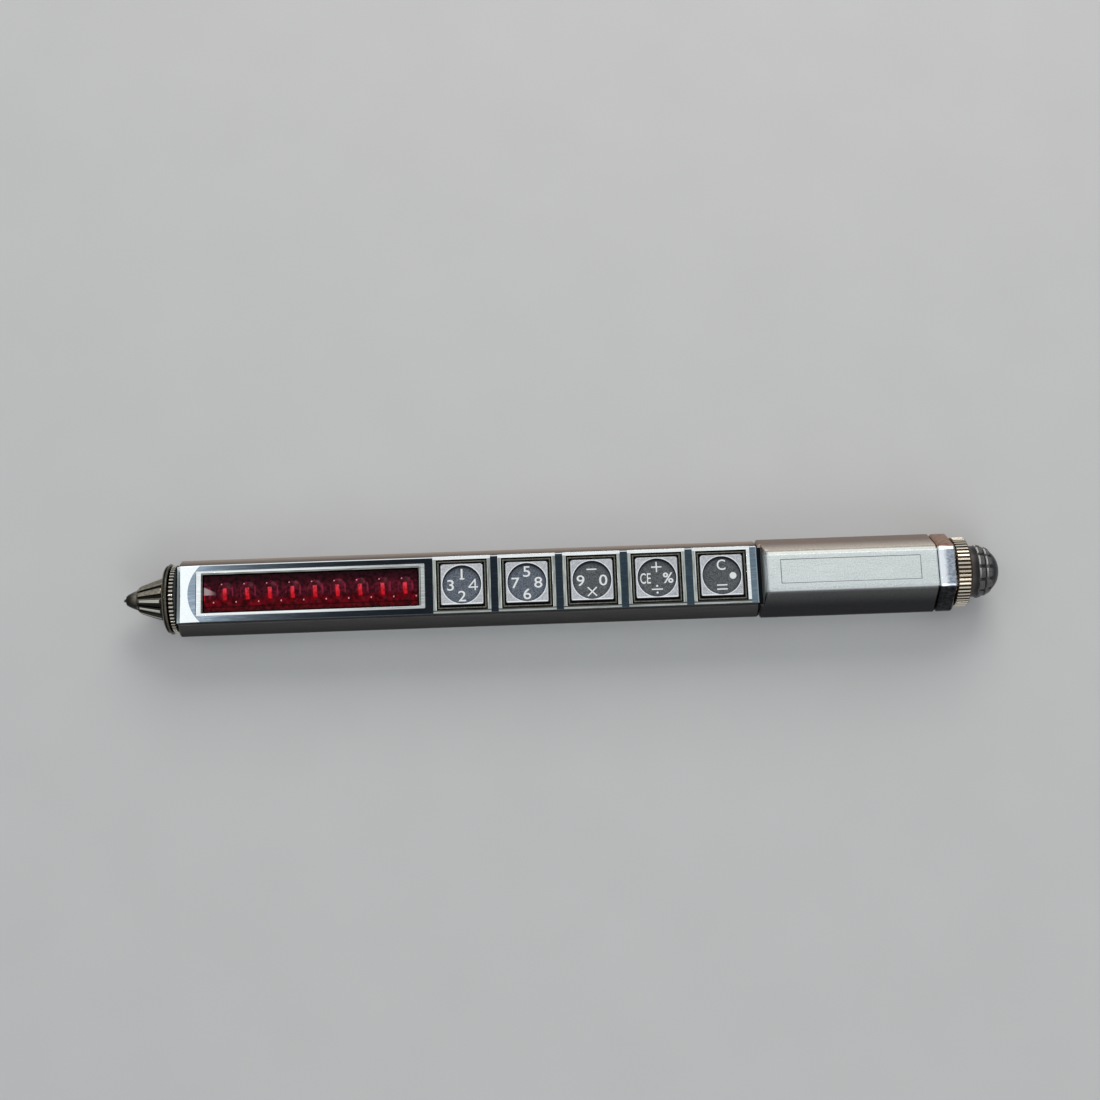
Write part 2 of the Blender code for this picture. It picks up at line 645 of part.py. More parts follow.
def face_plate():
    """The polished plate with its display frame, five bezels, and slots for the gimbals' pins."""
    half = BEZEL / 2
    plate = outline("face_plate", plate_outline(), -half, half)
    display_end = X_DISPLAY + DISPLAY_LENGTH
    high = BEZEL_RISE + OVERRUN
    change(plate, front_cutters())
    frame = box("display_frame", (X_DISPLAY, -DISPLAY_WIDTH / 2, (PLATE_FOOT + PLATE_RISE) / 2),
                (display_end, DISPLAY_WIDTH / 2, BEZEL_RISE))
    change(plate, [soften(frame, FRAME_EDGE)], "UNION")
    window_half = DISPLAY_WIDTH / 2 - DISPLAY_BAR
    low = PLATE_FOOT - OVERRUN
    cuts = [box("window", (X_DISPLAY + DISPLAY_END_BAR, -window_half, low),
                (display_end - DISPLAY_END_BAR, window_half, high))]
    pin_way = GIMBAL_PIN_RADIUS + SEAT_GAP
    pin_end = KEY_OPENING + GIMBAL_PIN_REACH + RUN_GAP
    for x in key_places():
        cuts.append(box("key_opening", (x - KEY_OPENING, -KEY_OPENING, low),
                        (x + KEY_OPENING, KEY_OPENING, high)))
        cuts.append(box("pin_slot", (x - pin_end, -pin_way, low),
                        (x + pin_end, pin_way, PIVOT_RISE + pin_way)))
    change(plate, cuts)
    place(plate, CHROME, (0, 0, AXIS_Z), 20)


def display():
    """The red lens bar in its frame, and the board with one lit chip under each lens."""
    window_length = DISPLAY_LENGTH - DISPLAY_END_BAR * 2
    window_half = DISPLAY_WIDTH / 2 - DISPLAY_BAR
    middle = X_DISPLAY + DISPLAY_LENGTH / 2
    first = X_DISPLAY + DIGITS_FRONT + DIGIT_PITCH / 2
    digits = [first + i * DIGIT_PITCH for i in range(DIGIT_COUNT)]
    base_top = PLATE_FOOT + LENS_BASE
    half_length = window_length / 2 - SEAT_GAP
    half_width = window_half - SEAT_GAP
    bm = bmesh.new()
    form = Matrix.Diagonal((LENS_LENGTH / 2, LENS_WIDTH / 2, LENS_RISE, 1))
    for x in digits:
        spot = Matrix.Translation((x, 0, base_top - SEAT_GAP))
        bmesh.ops.create_uvsphere(bm, u_segments=LENS_STEPS, v_segments=LENS_STEPS // 2, radius=1,
                                  matrix=spot @ form)
    lenses = from_bmesh("lenses", bm)
    window = box("display_window", (middle - half_length, -half_width, PLATE_FOOT),
                 (middle + half_length, half_width, base_top))
    change(window, [lenses], "UNION")
    flush_length = half_length + OVERRUN
    flush_width = half_width + OVERRUN
    change(window, [box("flush", (middle - flush_length, -flush_width, PLATE_FOOT - OVERRUN),
                        (middle + flush_length, flush_width, PLATE_FOOT))])
    place(window, RED_LENS, (0, 0, AXIS_Z))
    start = X_CHANNEL + SEAT_GAP
    end = X_KEYS - BEZEL / 2 - SEAT_GAP
    board_half = CHANNEL_WIDTH / 2 - SEAT_GAP
    board = box("display_board", (start, -board_half, BOARD_FOOT), (end, board_half, BOARD_TOP))
    place(board, BOARD, (0, 0, AXIS_Z))
    strip_foot = BOARD_TOP + SEAT_GAP
    strip_top = strip_foot + STRIP_THICK
    overlap = STRIP_THICK / 2
    bm = bmesh.new()
    for x in digits:
        size = (DIGIT_CHIP / 2, DIGIT_CHIP, DIGIT_CHIP_THICK + overlap)
        spot = Matrix.Translation((x, 0, strip_top + (DIGIT_CHIP_THICK - overlap) / 2))
        bmesh.ops.create_cube(bm, size=1, matrix=spot @ Matrix.Diagonal((*size, 1)))
    strip = box("led_strip", (middle - half_length, -DIGIT_CHIP, strip_foot),
                (middle + half_length, DIGIT_CHIP, strip_top))
    place(change(strip, [from_bmesh("dies", bm)], "UNION"), LED_DIE, (0, 0, AXIS_Z))


def nub_places():
    """The four contacts of a key, from its centre."""
    return [(NUB_OFFSET, 0), (-NUB_OFFSET, 0), (0, NUB_OFFSET), (0, -NUB_OFFSET)]


def key_shapes():
    """The gimbal frame, the cap and the dial of one key, about the key's pivot."""
    outer = GIMBAL_OUTER
    inner = GIMBAL_INNER
    low = -GIMBAL_HEIGHT / 2
    pin_end = KEY_OPENING + GIMBAL_PIN_REACH
    pin = cylinder("gimbal_pins", GIMBAL_PIN_RADIUS, (-pin_end, 0, 0), (pin_end, 0, 0), PIN_STEPS)
    gimbal = box("gimbal", (-outer, -outer, low), (outer, outer, -low))
    change(gimbal, [pin], "UNION")
    slot = CAP_PIN_RADIUS + SEAT_GAP
    change(gimbal, [
        box("gimbal_opening", (-inner, -inner, low - OVERRUN), (inner, inner, -low + OVERRUN)),
        box("cap_pin_slot", (-slot, -outer - OVERRUN, low - OVERRUN), (slot, outer + OVERRUN, slot)),
    ])
    top = BEZEL_RISE - PIVOT_RISE
    foot = top - CAP_HEIGHT
    bm = bmesh.new()
    bmesh.ops.create_cube(bm, size=1, matrix=Matrix.Translation((0, 0, (top + foot) / 2))
                          @ Matrix.Diagonal((CAP_HALF * 2, CAP_HALF * 2, CAP_HEIGHT, 1)))
    upright = [e for e in bm.edges if abs(e.verts[0].co.z - e.verts[1].co.z) > CAP_HEIGHT / 2]
    bmesh.ops.bevel(bm, geom=upright, offset=CAP_CORNER, segments=4, profile=0.5, affect="EDGES")
    cap = from_bmesh("cap", bm)
    soften(cap, CAP_EDGE, angle=70)
    nub_foot = CONTACT_TOP + NUB_TRAVEL - PIVOT_RISE
    joined = [cylinder("cap_pins", CAP_PIN_RADIUS, (0, -inner - GIMBAL_WALL / 2, 0),
                       (0, inner + GIMBAL_WALL / 2, 0), PIN_STEPS)]
    for x, y in nub_places():
        joined.append(cylinder("nub", NUB_RADIUS, (x, y, nub_foot), (x, y, foot + CAP_EDGE), PIN_STEPS))
    change(cap, joined, "UNION")
    recess = DIAL_RADIUS + SEAT_GAP / 2
    floor = top - DIAL_RECESS
    change(cap, [cylinder("dial_recess", recess, (0, 0, floor), (0, 0, top + OVERRUN), TURN_STEPS)])
    dial = turned("dial", [
        (0, 0), (0, DIAL_RADIUS), (DIAL_THICK, DIAL_RADIUS), (DIAL_THICK, DIAL_RADIUS - DIAL_RIM),
        (DIAL_THICK - DIAL_DISH, 0)][::-1], TURN_STEPS)
    dial.data.transform(Matrix.Rotation(-math.pi / 2, 4, "Y"))
    dial.data.transform(Matrix.Translation((0, 0, floor + SEAT_GAP / 2)))
    return bake(gimbal).data, bake(cap).data, dial.data


def keys():
    """Five four-way rocking keys; each one's pieces hang from an empty at its pivot."""
    shapes = key_shapes()
    names = ("gimbal", "cap", "dial")
    finishes = (CHROME, KEY_SATIN, DIAL_DARK)
    for number, x in enumerate(key_places(), 1):
        pivot = bpy.data.objects.new(f"key_{number}_pivot", None)
        pivot.empty_display_size = BEZEL
        pivot.location = (x, 0, AXIS_Z + PIVOT_RISE)
        PARTS.objects.link(pivot)
        for name, shape, finish in zip(names, shapes, finishes):
            piece = bpy.data.objects.new(f"key_{number}_{name}", shape)
            place(piece, finish).parent = pivot


def key_electronics():
    """The key board with a snap dome under each nub, and the calculator chip below it."""
    start = X_KEYS - BEZEL / 2 + SEAT_GAP
    end = X_PLATE_END - REAR_WALL - SEAT_GAP
    half = CHANNEL_WIDTH / 2 - SEAT_GAP
    place(box("key_board", (start, -half, BOARD_FOOT), (end, half, BOARD_TOP)), BOARD, (0, 0, AXIS_Z))
    foot = BOARD_TOP + SEAT_GAP
    sheet = box("contact_sheet", (start, -half, foot), (end, half, foot + SHEET_THICK))
    bm = bmesh.new()
    tall = DOME_HEIGHT + SHEET_THICK / 2
    for x in key_places():
        for dx, y in nub_places():
            spot = Matrix.Translation((x + dx, y, CONTACT_TOP - tall / 2))
            bmesh.ops.create_cone(bm, cap_ends=True, segments=PIN_STEPS, radius1=DOME_RADIUS,
                                  radius2=DOME_TOP, depth=tall, matrix=spot)
    place(change(sheet, [from_bmesh("domes", bm)], "UNION"), STEEL, (0, 0, AXIS_Z))
    middle = (X_WEB + WEB_THICK + end) / 2
    top = BOARD_FOOT - SEAT_GAP
    chip = box("calculator_chip", (middle - CHIP_LENGTH / 2, -CHIP_WIDTH / 2, top - CHIP_THICK),
               (middle + CHIP_LENGTH / 2, CHIP_WIDTH / 2, top))
    place(soften(chip, CHIP_EDGE), CHIP, (0, 0, AXIS_Z))


def barrel():
    """The hexagonal rear barrel, bored for the cells, with a notch whose rear wall leans back."""
    sleeve = hex_bar("barrel_sleeve", BARREL_APOTHEM, BARREL_LENGTH, BARREL_CORNER)
    soften(sleeve, END_CHAMFER, angle=70)
    change(sleeve, [
        cylinder("cell_bore", BARREL_BORE, (-OVERRUN, 0, 0), (BARREL_LENGTH + OVERRUN, 0, 0), TURN_STEPS),
        notch(X_BARREL),
    ])
    place(sleeve, SATIN, (X_BARREL, 0, AXIS_Z))


def cells():
    """The insulator, the front contact with its lead, and the stack of button cells."""
    front = X_SPIGOT_END + SEAT_GAP
    bore = BARREL_BORE - SEAT_GAP
    disc = cylinder("insulator_disc", bore, (0, 0, 0), (INSULATOR_THICK, 0, 0), SMALL_STEPS)
    hole = LEAD_RADIUS + RUN_GAP
    change(disc, [cylinder("disc_hole", hole, (-OVERRUN, LEAD_SIDE, 0), (OVERRUN, LEAD_SIDE, 0),
                           PIN_STEPS)])
    place(disc, PLASTIC, (front, 0, AXIS_Z))
    contact_x = front + INSULATOR_THICK + SEAT_GAP
    place(cylinder("front_contact", CONTACT_RADIUS, (0, 0, 0), (CONTACT_THICK, 0, 0), SMALL_STEPS),
          BRASS, (contact_x, 0, AXIS_Z))
    chip_end = X_PLATE_END - REAR_WALL
    lead = [(contact_x - SEAT_GAP, 0), (contact_x - INSULATOR_THICK, 0), (chip_end, 0),
            (chip_end - LEAD_BEND, LEAD_RADIUS), (chip_end - LEAD_BEND * 2, LEDGE_RISE - LEAD_RADIUS)]
    wire("power_lead", [(x, LEAD_SIDE, z) for x, z in lead], LEAD_RADIUS, BRASS)
    first = contact_x + CONTACT_THICK + SEAT_GAP
    shape = [(CELL_HEIGHT, 0), (CELL_HEIGHT, CELL_RADIUS - CELL_EDGE),
             (CELL_HEIGHT - CELL_EDGE, CELL_RADIUS), (CELL_CAP, CELL_RADIUS),
             (CELL_CAP, CELL_CAP_RADIUS), (0, CELL_CAP_RADIUS - CELL_EDGE), (0, 0)]
    for number in range(CELL_COUNT):
        cell = turned(f"button_cell_{number + 1}", shape, SMALL_STEPS)
        place(cell, STEEL, (first + number * (CELL_HEIGHT + SEAT_GAP), 0, AXIS_Z))
    return first + CELL_COUNT * (CELL_HEIGHT + SEAT_GAP)


def rear_end(cells_end):
    """The collar, the knurled ring that closes the cells in, its spring, and the switch dome."""
    collar = hex_bar("rear_collar", BARREL_APOTHEM, COLLAR_LENGTH, COLLAR_CORNER)
    soften(collar, END_CHAMFER, angle=70)
    change(collar, [cylinder("collar_bore", BARREL_BORE, (-OVERRUN, 0, 0), (COLLAR_LENGTH + OVERRUN, 0, 0),
                             TURN_STEPS)])
    place(collar, CHROME, (X_COLLAR, 0, AXIS_Z))
    axle_way = AXLE_RADIUS + RUN_GAP
    ring = knurled("end_ring", RING_WIDTH, RING_RADIUS, axle_way, RING_CHAMFER)
    outer = BARREL_BORE - RUN_GAP
    inner = outer - RING_STUB_WALL
    stub = turned("ring_stub", [(RING_WEB, inner), (RING_WEB, outer), (-RING_STUB_REACH, outer),
                                (-RING_STUB_REACH, inner)], closed=True)
    change(ring, [stub], "UNION")
    place(ring, CHROME, (X_RING, 0, AXIS_Z), 20)
    cup_x = X_RING - RING_STUB_REACH - SEAT_GAP - CUP_THICK
    cup = cylinder("spring_cup", inner, (0, 0, 0), (CUP_THICK, 0, 0), SMALL_STEPS)
    place(cup, BRASS, (cup_x, 0, AXIS_Z))
    start = cells_end + SPRING_WIRE
    end = cup_x - SEAT_GAP - SPRING_WIRE
    points = list(coil_points(SPRING_TURNS, start, end, SPRING_FRONT_RADIUS, SPRING_REAR_RADIUS))
    print("cell_spring least gap", round(least_gap(points, SPRING_WIRE), 6))
    wire("cell_spring", points, SPRING_WIRE, STEEL)
    switch_dome()


def dome_profile(share):
    """The dome's radius at a share of its length: a short neck, then a rounded end."""
    neck = DOME_NECK / DOME_LENGTH
    if share <= neck:
        return DOME_BASE
    bend = (share - neck) / (1 - neck)
    return DOME_BASE * (1 - bend ** DOME_ROUNDNESS) ** (1 / DOME_ROUNDNESS)


def switch_dome():
    """The dome with its grid of pads, on an axle that carries the switch's wiper inside the ring."""
    pad_shares = [share for row in PAD_ROW_SHARES for share in row]
    ring_shares = (*DOME_TOP_SHARES, *pad_shares, DOME_NECK / DOME_LENGTH, 0)
    outside = [(DOME_LENGTH * share, dome_profile(share)) for share in ring_shares]
    axle_end = -RING_WIDTH - SEAT_GAP * 2
    dome = turned("switch_dome", [*outside, (0, AXLE_RADIUS), (axle_end, AXLE_RADIUS), (axle_end, 0)],
                  PAD_COLUMNS * 3)

    def pad(point):
        share = point.x / DOME_LENGTH
        row = next((i for i, (high, low) in enumerate(PAD_ROW_SHARES) if low < share < high), None)
        if row is None or math.hypot(point.y, point.z) < AXLE_RADIUS:
            return None
        return row, around(point, PAD_COLUMNS)

    raise_patches(dome, pad, PAD_MARGIN, PAD_HEIGHT)
    place(dome, PLASTIC, (X_DOME, 0, AXIS_Z))
    wiper_x = X_DOME + axle_end - SEAT_GAP - WIPER_THICK
    place(cylinder("switch_wiper", WIPER_RADIUS, (0, 0, 0), (WIPER_THICK, 0, 0), SMALL_STEPS),
          BRASS, (wiper_x, 0, AXIS_Z))


refill()
nose()
front_body()
face_plate()
display()
keys()
key_electronics()
barrel()
rear_end(cells())
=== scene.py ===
import math

import bmesh
import bpy
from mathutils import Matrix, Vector


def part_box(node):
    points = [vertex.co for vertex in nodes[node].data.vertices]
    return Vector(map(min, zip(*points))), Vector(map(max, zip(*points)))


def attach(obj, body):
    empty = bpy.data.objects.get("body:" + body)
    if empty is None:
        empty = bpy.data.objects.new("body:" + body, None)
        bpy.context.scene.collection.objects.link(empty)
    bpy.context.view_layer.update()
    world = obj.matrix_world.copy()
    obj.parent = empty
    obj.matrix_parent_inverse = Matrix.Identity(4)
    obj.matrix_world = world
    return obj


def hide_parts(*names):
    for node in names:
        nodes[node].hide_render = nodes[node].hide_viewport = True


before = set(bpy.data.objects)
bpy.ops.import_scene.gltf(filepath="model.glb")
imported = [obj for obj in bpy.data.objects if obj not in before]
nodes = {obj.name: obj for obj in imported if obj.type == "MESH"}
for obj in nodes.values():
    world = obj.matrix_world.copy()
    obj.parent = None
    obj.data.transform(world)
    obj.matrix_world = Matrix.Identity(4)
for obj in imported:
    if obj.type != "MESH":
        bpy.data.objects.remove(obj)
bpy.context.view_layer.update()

scene = bpy.context.scene


# Camera, lamps and table. The pen lies with its writing point at the left on a plain pale
# table, under soft lamps, and is seen from above its lower long side.
class Shade:
    """A socket of a material's tree, so that its maths reads as plain sums."""

    def __init__(self, tree, socket=None):
        self.tree = tree
        self.socket = socket

    def node(self, kind, settings=None, inputs=None, output=0):
        """A new node with these settings and these values or links in its sockets."""
        made = self.tree.nodes.new(kind)
        for name, value in (settings or {}).items():
            setattr(made, name, value)
        for key, value in (inputs or {}).items():
            if isinstance(value, Shade):
                self.tree.links.new(value.socket, made.inputs[key])
            else:
                made.inputs[key].default_value = value
        return Shade(self.tree, made.outputs[output])

    def also(self, output):
        """Another output of the same node."""
        return Shade(self.tree, self.socket.node.outputs[output])

    def maths(self, operation, *values):
        return self.node("ShaderNodeMath", {"operation": operation}, dict(enumerate(values)))

    def __add__(self, other):
        return self.maths("ADD", self, other)

    __radd__ = __add__

    def __sub__(self, other):
        return self.maths("SUBTRACT", self, other)

    def __rsub__(self, other):
        return self.maths("SUBTRACT", other, self)

    def __mul__(self, other):
        return self.maths("MULTIPLY", self, other)

    __rmul__ = __mul__

    def __truediv__(self, other):
        return self.maths("DIVIDE", self, other)

    def __abs__(self):
        return self.maths("ABSOLUTE", self)

    def larger(self, other):
        return self.maths("MAXIMUM", self, other)

    def hypot(self, other):
        """How far from nought a point is that has these two values as its coordinates."""
        return self.maths("SQRT", self * self + other * other)

    def rise(self, start, end, low=0.0, high=1.0):
        """A soft step from low to high as the value goes from start to end."""
        return self.node("ShaderNodeMapRange", {"interpolation_type": "SMOOTHSTEP"},
                         {0: self, 1: start, 2: end, 3: low, 4: high})

    def fall(self, start, end):
        """A soft step from one down to nought as the value goes from start to end."""
        return self.rise(start, end, 1.0, 0.0)

    def past(self, edge, soft):
        """One beyond the edge and nought before it, and soft by that much to either side."""
        return self.rise(edge - soft, edge + soft)

    def before(self, edge, soft):
        return self.fall(edge - soft, edge + soft)

    def between(self, start, end, soft):
        """One between start and end, and nought outside them."""
        return self.past(start, soft) * self.before(end, soft)

    def tint(self, colour):
        """The colour made darker or lighter by this value."""
        return self.node("ShaderNodeVectorMath", {"operation": "SCALE"},
                         {0: colour, "Scale": self})

    def blend(self, first, second):
        """The colour first where the value is nought, and second where it is one."""
        tones = [tone if isinstance(tone, Shade) else (*tone, 1) for tone in (first, second)]
        return self.node("ShaderNodeMix", {"data_type": "RGBA"},
                         {0: self, 6: tones[0], 7: tones[1]}, 2)

    def bump(self, strength, distance):
        """A normal that leans as this value changes."""
        return self.node("ShaderNodeBump",
                         inputs={"Height": self, "Strength": strength, "Distance": distance})


def placed(name, data):
    """A new object that holds the data, linked to the scene."""
    made = bpy.data.objects.new(name, data)
    scene.collection.objects.link(made)
    return made


CAMERA_PLACE = (-0.00592031, -0.05930127, 0.3122538)
CAMERA_TURN = (12.210771, -0.292838, -2.101819)
camera = placed("camera", bpy.data.cameras.new("camera"))
camera.location = CAMERA_PLACE
camera.rotation_euler = [math.radians(angle) for angle in CAMERA_TURN]
camera.data.lens = 55.64
camera.data.sensor_width = 36
camera.data.clip_start = 0.01
scene.camera = camera
scene.view_settings.view_transform = "Standard"


def lamp(name, place, size, watts, colour):
    """A square soft lamp at place, turned towards the middle of the pen."""
    data = bpy.data.lights.new(name, "AREA")
    data.energy = watts
    data.size = size
    data.color = colour
    made = placed(name, data)
    made.location = place
    made.rotation_euler = (-Vector(place)).to_track_quat("-Z", "Y").to_euler()


lamp("back_lamp", (0.1, 0.46, 0.36), 0.34, 1.3, (1.0, 0.96, 0.91))
lamp("front_lamp", (0.12, -0.42, 0.4), 0.24, 0.35, (0.95, 0.98, 1.0))
lamp("point_lamp", (-0.34, 0.1, 0.48), 0.2, 0.095, (1.0, 1.0, 1.0))
lamp("glint_lamp", (-0.2, 0.02, 0.6), 0.02, 0.08, (1.0, 1.0, 1.0))

SKY_COLOUR = (0.93, 0.965, 1.0, 1)
SKY_LIT = 0.48      # the sky's strength as a light
SKY_SEEN = 0.9      # its strength as a background and in mirrors
room = bpy.data.worlds.new("room")
room.use_nodes = True
scene.world = room
seen = Shade(room.node_tree).node("ShaderNodeLightPath", output="Is Camera Ray")
seen = seen.larger(seen.also("Is Glossy Ray")).larger(seen.also("Is Transmission Ray"))
sky = seen.node("ShaderNodeBackground",
                inputs={0: SKY_COLOUR, 1: seen * (SKY_SEEN - SKY_LIT) + SKY_LIT})
room.node_tree.links.new(sky.socket, room.node_tree.nodes["World Output"].inputs[0])


def finish(name, **constants):
    """A new material with fixed values in its shader's sockets, and a Shade of its tree."""
    made = bpy.data.materials.new(name)
    made.use_nodes = True
    shader = made.node_tree.nodes["Principled BSDF"]
    for socket, value in constants.items():
        shader.inputs[socket.replace("_", " ")].default_value = value
    return made, Shade(made.node_tree)


def feed(shade, **values):
    """Links each value to the socket of that name on the material's shader."""
    shader = shade.tree.nodes["Principled BSDF"]
    for socket, value in values.items():
        shade.tree.links.new(value.socket, shader.inputs[socket.replace("_", " ")])


def noise(shade, *scales, detail=2.0):
    """Noise on the object's own coordinates. Its grains are 1/scale metres long, with one scale
    for all three axes or one for each."""
    place = shade.node("ShaderNodeTexCoord", output="Object")
    stretch = scales if len(scales) == 3 else scales * 3
    stretched = shade.node("ShaderNodeMapping", inputs={0: place, 3: stretch})
    return shade.node("ShaderNodeTexNoise",
                      inputs={"Vector": stretched, "Scale": 1.0, "Detail": detail})


TABLE_HALF = 1.5
TABLE_DROP = 0.00003    # below the pen, so that no face of it lies in the table's own
table_top, shade = finish("table_top", Roughness=0.85)
feed(shade, Base_Color=noise(shade, 60).blend((0.62, 0.62, 0.615), (0.66, 0.66, 0.655)))
sheet = bmesh.new()
bmesh.ops.create_grid(sheet, x_segments=1, y_segments=1, size=TABLE_HALF)
bmesh.ops.translate(sheet, verts=sheet.verts, vec=(0, 0, -TABLE_DROP))
table_mesh = bpy.data.meshes.new("table")
sheet.to_mesh(table_mesh)
sheet.free()
table_mesh.materials.append(table_top)
table = placed("table", table_mesh)


# Front body. Aluminium bar, hexagonal, brushed along its length to a satin. A channel is milled
# down its top flat for the display and the keys, and the nose screws into its front end.
def ends(node):
    """Where a CAD node begins and ends along the pen."""
    return [corner[0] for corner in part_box(node)]


FACET_EDGE = 0.0036     # half the width of a hexagon's flat
EDGE_SOFT = 0.0002      # half the width of the change of tone at a long edge
MID_HEIGHT = 0.0065     # of the pen's axis above the table
FLAT_HEIGHT = 0.0095    # of the milled flat that carries the face plate
WELD = 0.000001         # points nearer than this are one point
PLATE_FRONT, PLATE_REAR = ends("face_plate")
SHOULDER_FOOT = PLATE_REAR + 0.001      # from here the barrel's shoulder leans back
SHOULDER_HEAD = SHOULDER_FOOT + 0.0009
SEAM_SHADOW = (SHOULDER_FOOT - 0.0002, SHOULDER_FOOT + 0.0005)      # it fades between these
UNDERSIDE = (0.5, 0.51, 0.5)
# painted shade for the seam and the notch behind the plate
SEAM_SHADE_PAINT = (0.008, 0.009, 0.01)


def plain_mesh(made):
    """The object's mesh with its modifiers applied; the object itself goes."""
    mesh = bpy.data.meshes.new_from_object(
        made.evaluated_get(bpy.context.evaluated_depsgraph_get()))
    bpy.data.objects.remove(made)
    return mesh


def smooth(mesh, angle=38):
    """Smooth faces, sharp where they meet at more than the angle, and flats that stay flat."""
    for face in mesh.polygons:
        face.use_smooth = True
    mesh.set_sharp_from_angle(angle=math.radians(angle))
    made = placed("smoothing", mesh)
    made.modifiers.new("flats", "WEIGHTED_NORMAL").keep_sharp = True
    return plain_mesh(made)


def bevelled(mesh, width):
    """The mesh with every corner of more than 30 degrees rounded by the width."""
    made = placed("bevelling", mesh)
    bevel = made.modifiers.new("corners", "BEVEL")
    bevel.width = width
    bevel.segments = 2
    bevel.limit_method = "ANGLE"
    bevel.angle_limit = math.radians(30)
    return plain_mesh(made)


def merged_copy(node):
    """A CAD node's mesh with its triangles joined again into whole flat faces."""
    shape = bmesh.new()
    shape.from_mesh(nodes[node].data)
    bmesh.ops.remove_doubles(shape, verts=shape.verts, dist=2 * WELD)
    bmesh.ops.dissolve_limit(shape, angle_limit=0.01, verts=shape.verts, edges=shape.edges)
    mesh = bpy.data.meshes.new(node + "_copy")
    shape.to_mesh(mesh)
    shape.free()
    return mesh


def piece(name, mesh, material, body):
    """A finished piece that rides on a body. One with a CAD node's name stands for that node."""
    mesh.name = name
    mesh.materials.clear()
    mesh.materials.append(material)
    made = placed(name + "_dressed" if name in nodes else name, mesh)
    if name in nodes:
        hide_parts(name)
    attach(made, body)


def layered(tone, *layers):
    """The tone with layers over it: for each a mask, and the colour where the mask is one."""
    for mask, colour in layers:
        tone = mask.blend(tone, colour)
    return tone


def axes(shade):
    """The object's own x, y and z, as three values."""
    place = shade.node("ShaderNodeTexCoord", output="Object")
    x = shade.node("ShaderNodeSeparateXYZ", inputs={0: place})
    return x, x.also("Y"), x.also("Z")


def satin(name, top, back, front, climbs, speck_size, line_share):
    """Satin metal with a tone for the top flat and two for each upper slope, from its foot to
    its head between the heights climbs: painted reflections on the back slope, painted shade on
    the front one; all of it lies under a blasted grain and lines brushed along the pen."""
    made, shade = finish(name, Metallic=1.0)
    x, y, z = axes(shade)
    lines = noise(shade, 200, 9000, 9000, detail=3)
    grain = noise(shade, 1 / speck_size)
    cloud = noise(shade, 120, 400, 400)
    climb = z.rise(*climbs)
    upper = z.past(MID_HEIGHT, 0.0003)
    toned = layered(
        upper.blend(UNDERSIDE, top),
        (y.past(FACET_EDGE, EDGE_SOFT) * upper, climb.blend(*back)),
        (y.before(-FACET_EDGE, EDGE_SOFT) * upper, climb.blend(*front)))
    speck = (grain * (1 - line_share) + lines * line_share).rise(0.3, 0.7)
    feed(shade, Roughness=grain * 0.14 + lines * 0.1 + 0.24,
         Normal=(grain + lines * line_share).bump(0.35, 0.000012))
    return made, shade, (x, y, z), (speck * 0.34 + cloud * 0.14 + 0.78).tint(toned)


# Its slopes carry painted light: a warm painted reflection on the back slope that darkens towards
# its head, and painted shade on the front one.
body_metal, shade, (x, _, z), toned = satin(
    "body_satin", top=(0.4, 0.42, 0.42), back=((0.52, 0.4, 0.32), (0.13, 0.1, 0.09)),
    front=((0.045, 0.043, 0.043), (0.075, 0.07, 0.07)), climbs=(0.0068, 0.0094),
    speck_size=0.00018, line_share=0.6)
# Behind the plate the seam is painted dark, painted shade; further back, above the flat, the body
# is painted pale with its metal turned down: a painted reflection.
above = z.rise(FLAT_HEIGHT - 0.0005, FLAT_HEIGHT - 0.0001)
wall = x.rise(SHOULDER_FOOT - 0.0001, SHOULDER_FOOT) * above
gap = x.rise(PLATE_REAR - 0.0002, PLATE_REAR) * x.fall(*SEAM_SHADOW) * above
feed(shade, Base_Color=layered(toned, (wall, (0.85, 0.9, 0.88)), (gap, SEAM_SHADE_PAINT)),
     Metallic=1 - wall * 0.8)
body_mesh = smooth(bevelled(merged_copy("front_body"), 0.00006))
piece("front_body", body_mesh, body_metal, "body")


# Face plate. One polished plate with a rounded step at its front, the display's frame and five
# bezels raised on it, held down on the milled flat. Its low field is painted as a dark
# reflection, with a bright painted reflection at its front.
STEP_CENTRE = PLATE_FRONT + 0.00905
STEP_RADIUS = 0.007
STEP_END = PLATE_FRONT + 0.00769
PLATE_HALF = 0.005215
PLATE_FACE = 0.0109     # height of the low field
BEZEL_FACE = 0.0112     # height of the bezels and of the display's frame
FADE_START = 0.045      # share of the length where the front's painted reflection fades
FADE_RATE = 14.2
DISPLAY_FRONT = PLATE_FRONT + 0.0048
DISPLAY_REAR = PLATE_FRONT + 0.0436
DISPLAY_HALF = 0.00341
OPENING_SLOPE = 0.00028
FRAME_DARKENING = (-0.047, -0.031)      # the frame's painted reflection darkens between these
KEY_CENTRES = [sum(ends(f"key_{number}_cap")) / 2 for number in range(1, 6)]
KEY_PITCH = KEY_CENTRES[1] - KEY_CENTRES[0]
KEY_OPENING = 0.004615          # half the width of a bezel's opening
KEY_WALL = (KEY_OPENING - 0.0001, KEY_OPENING + 0.00003, 0.00001)  # near, far and softness
KEYS_FRONT = -0.0235            # the bezels lie between here
KEYS_REAR = KEY_CENTRES[-1] + 0.005     # and here


def from_key_centre(x):
    """How far along the pen a point lies from the middle of the nearest key."""
    away = x - KEY_CENTRES[0]
    return away - x.maths("ROUND", away / KEY_PITCH) * KEY_PITCH


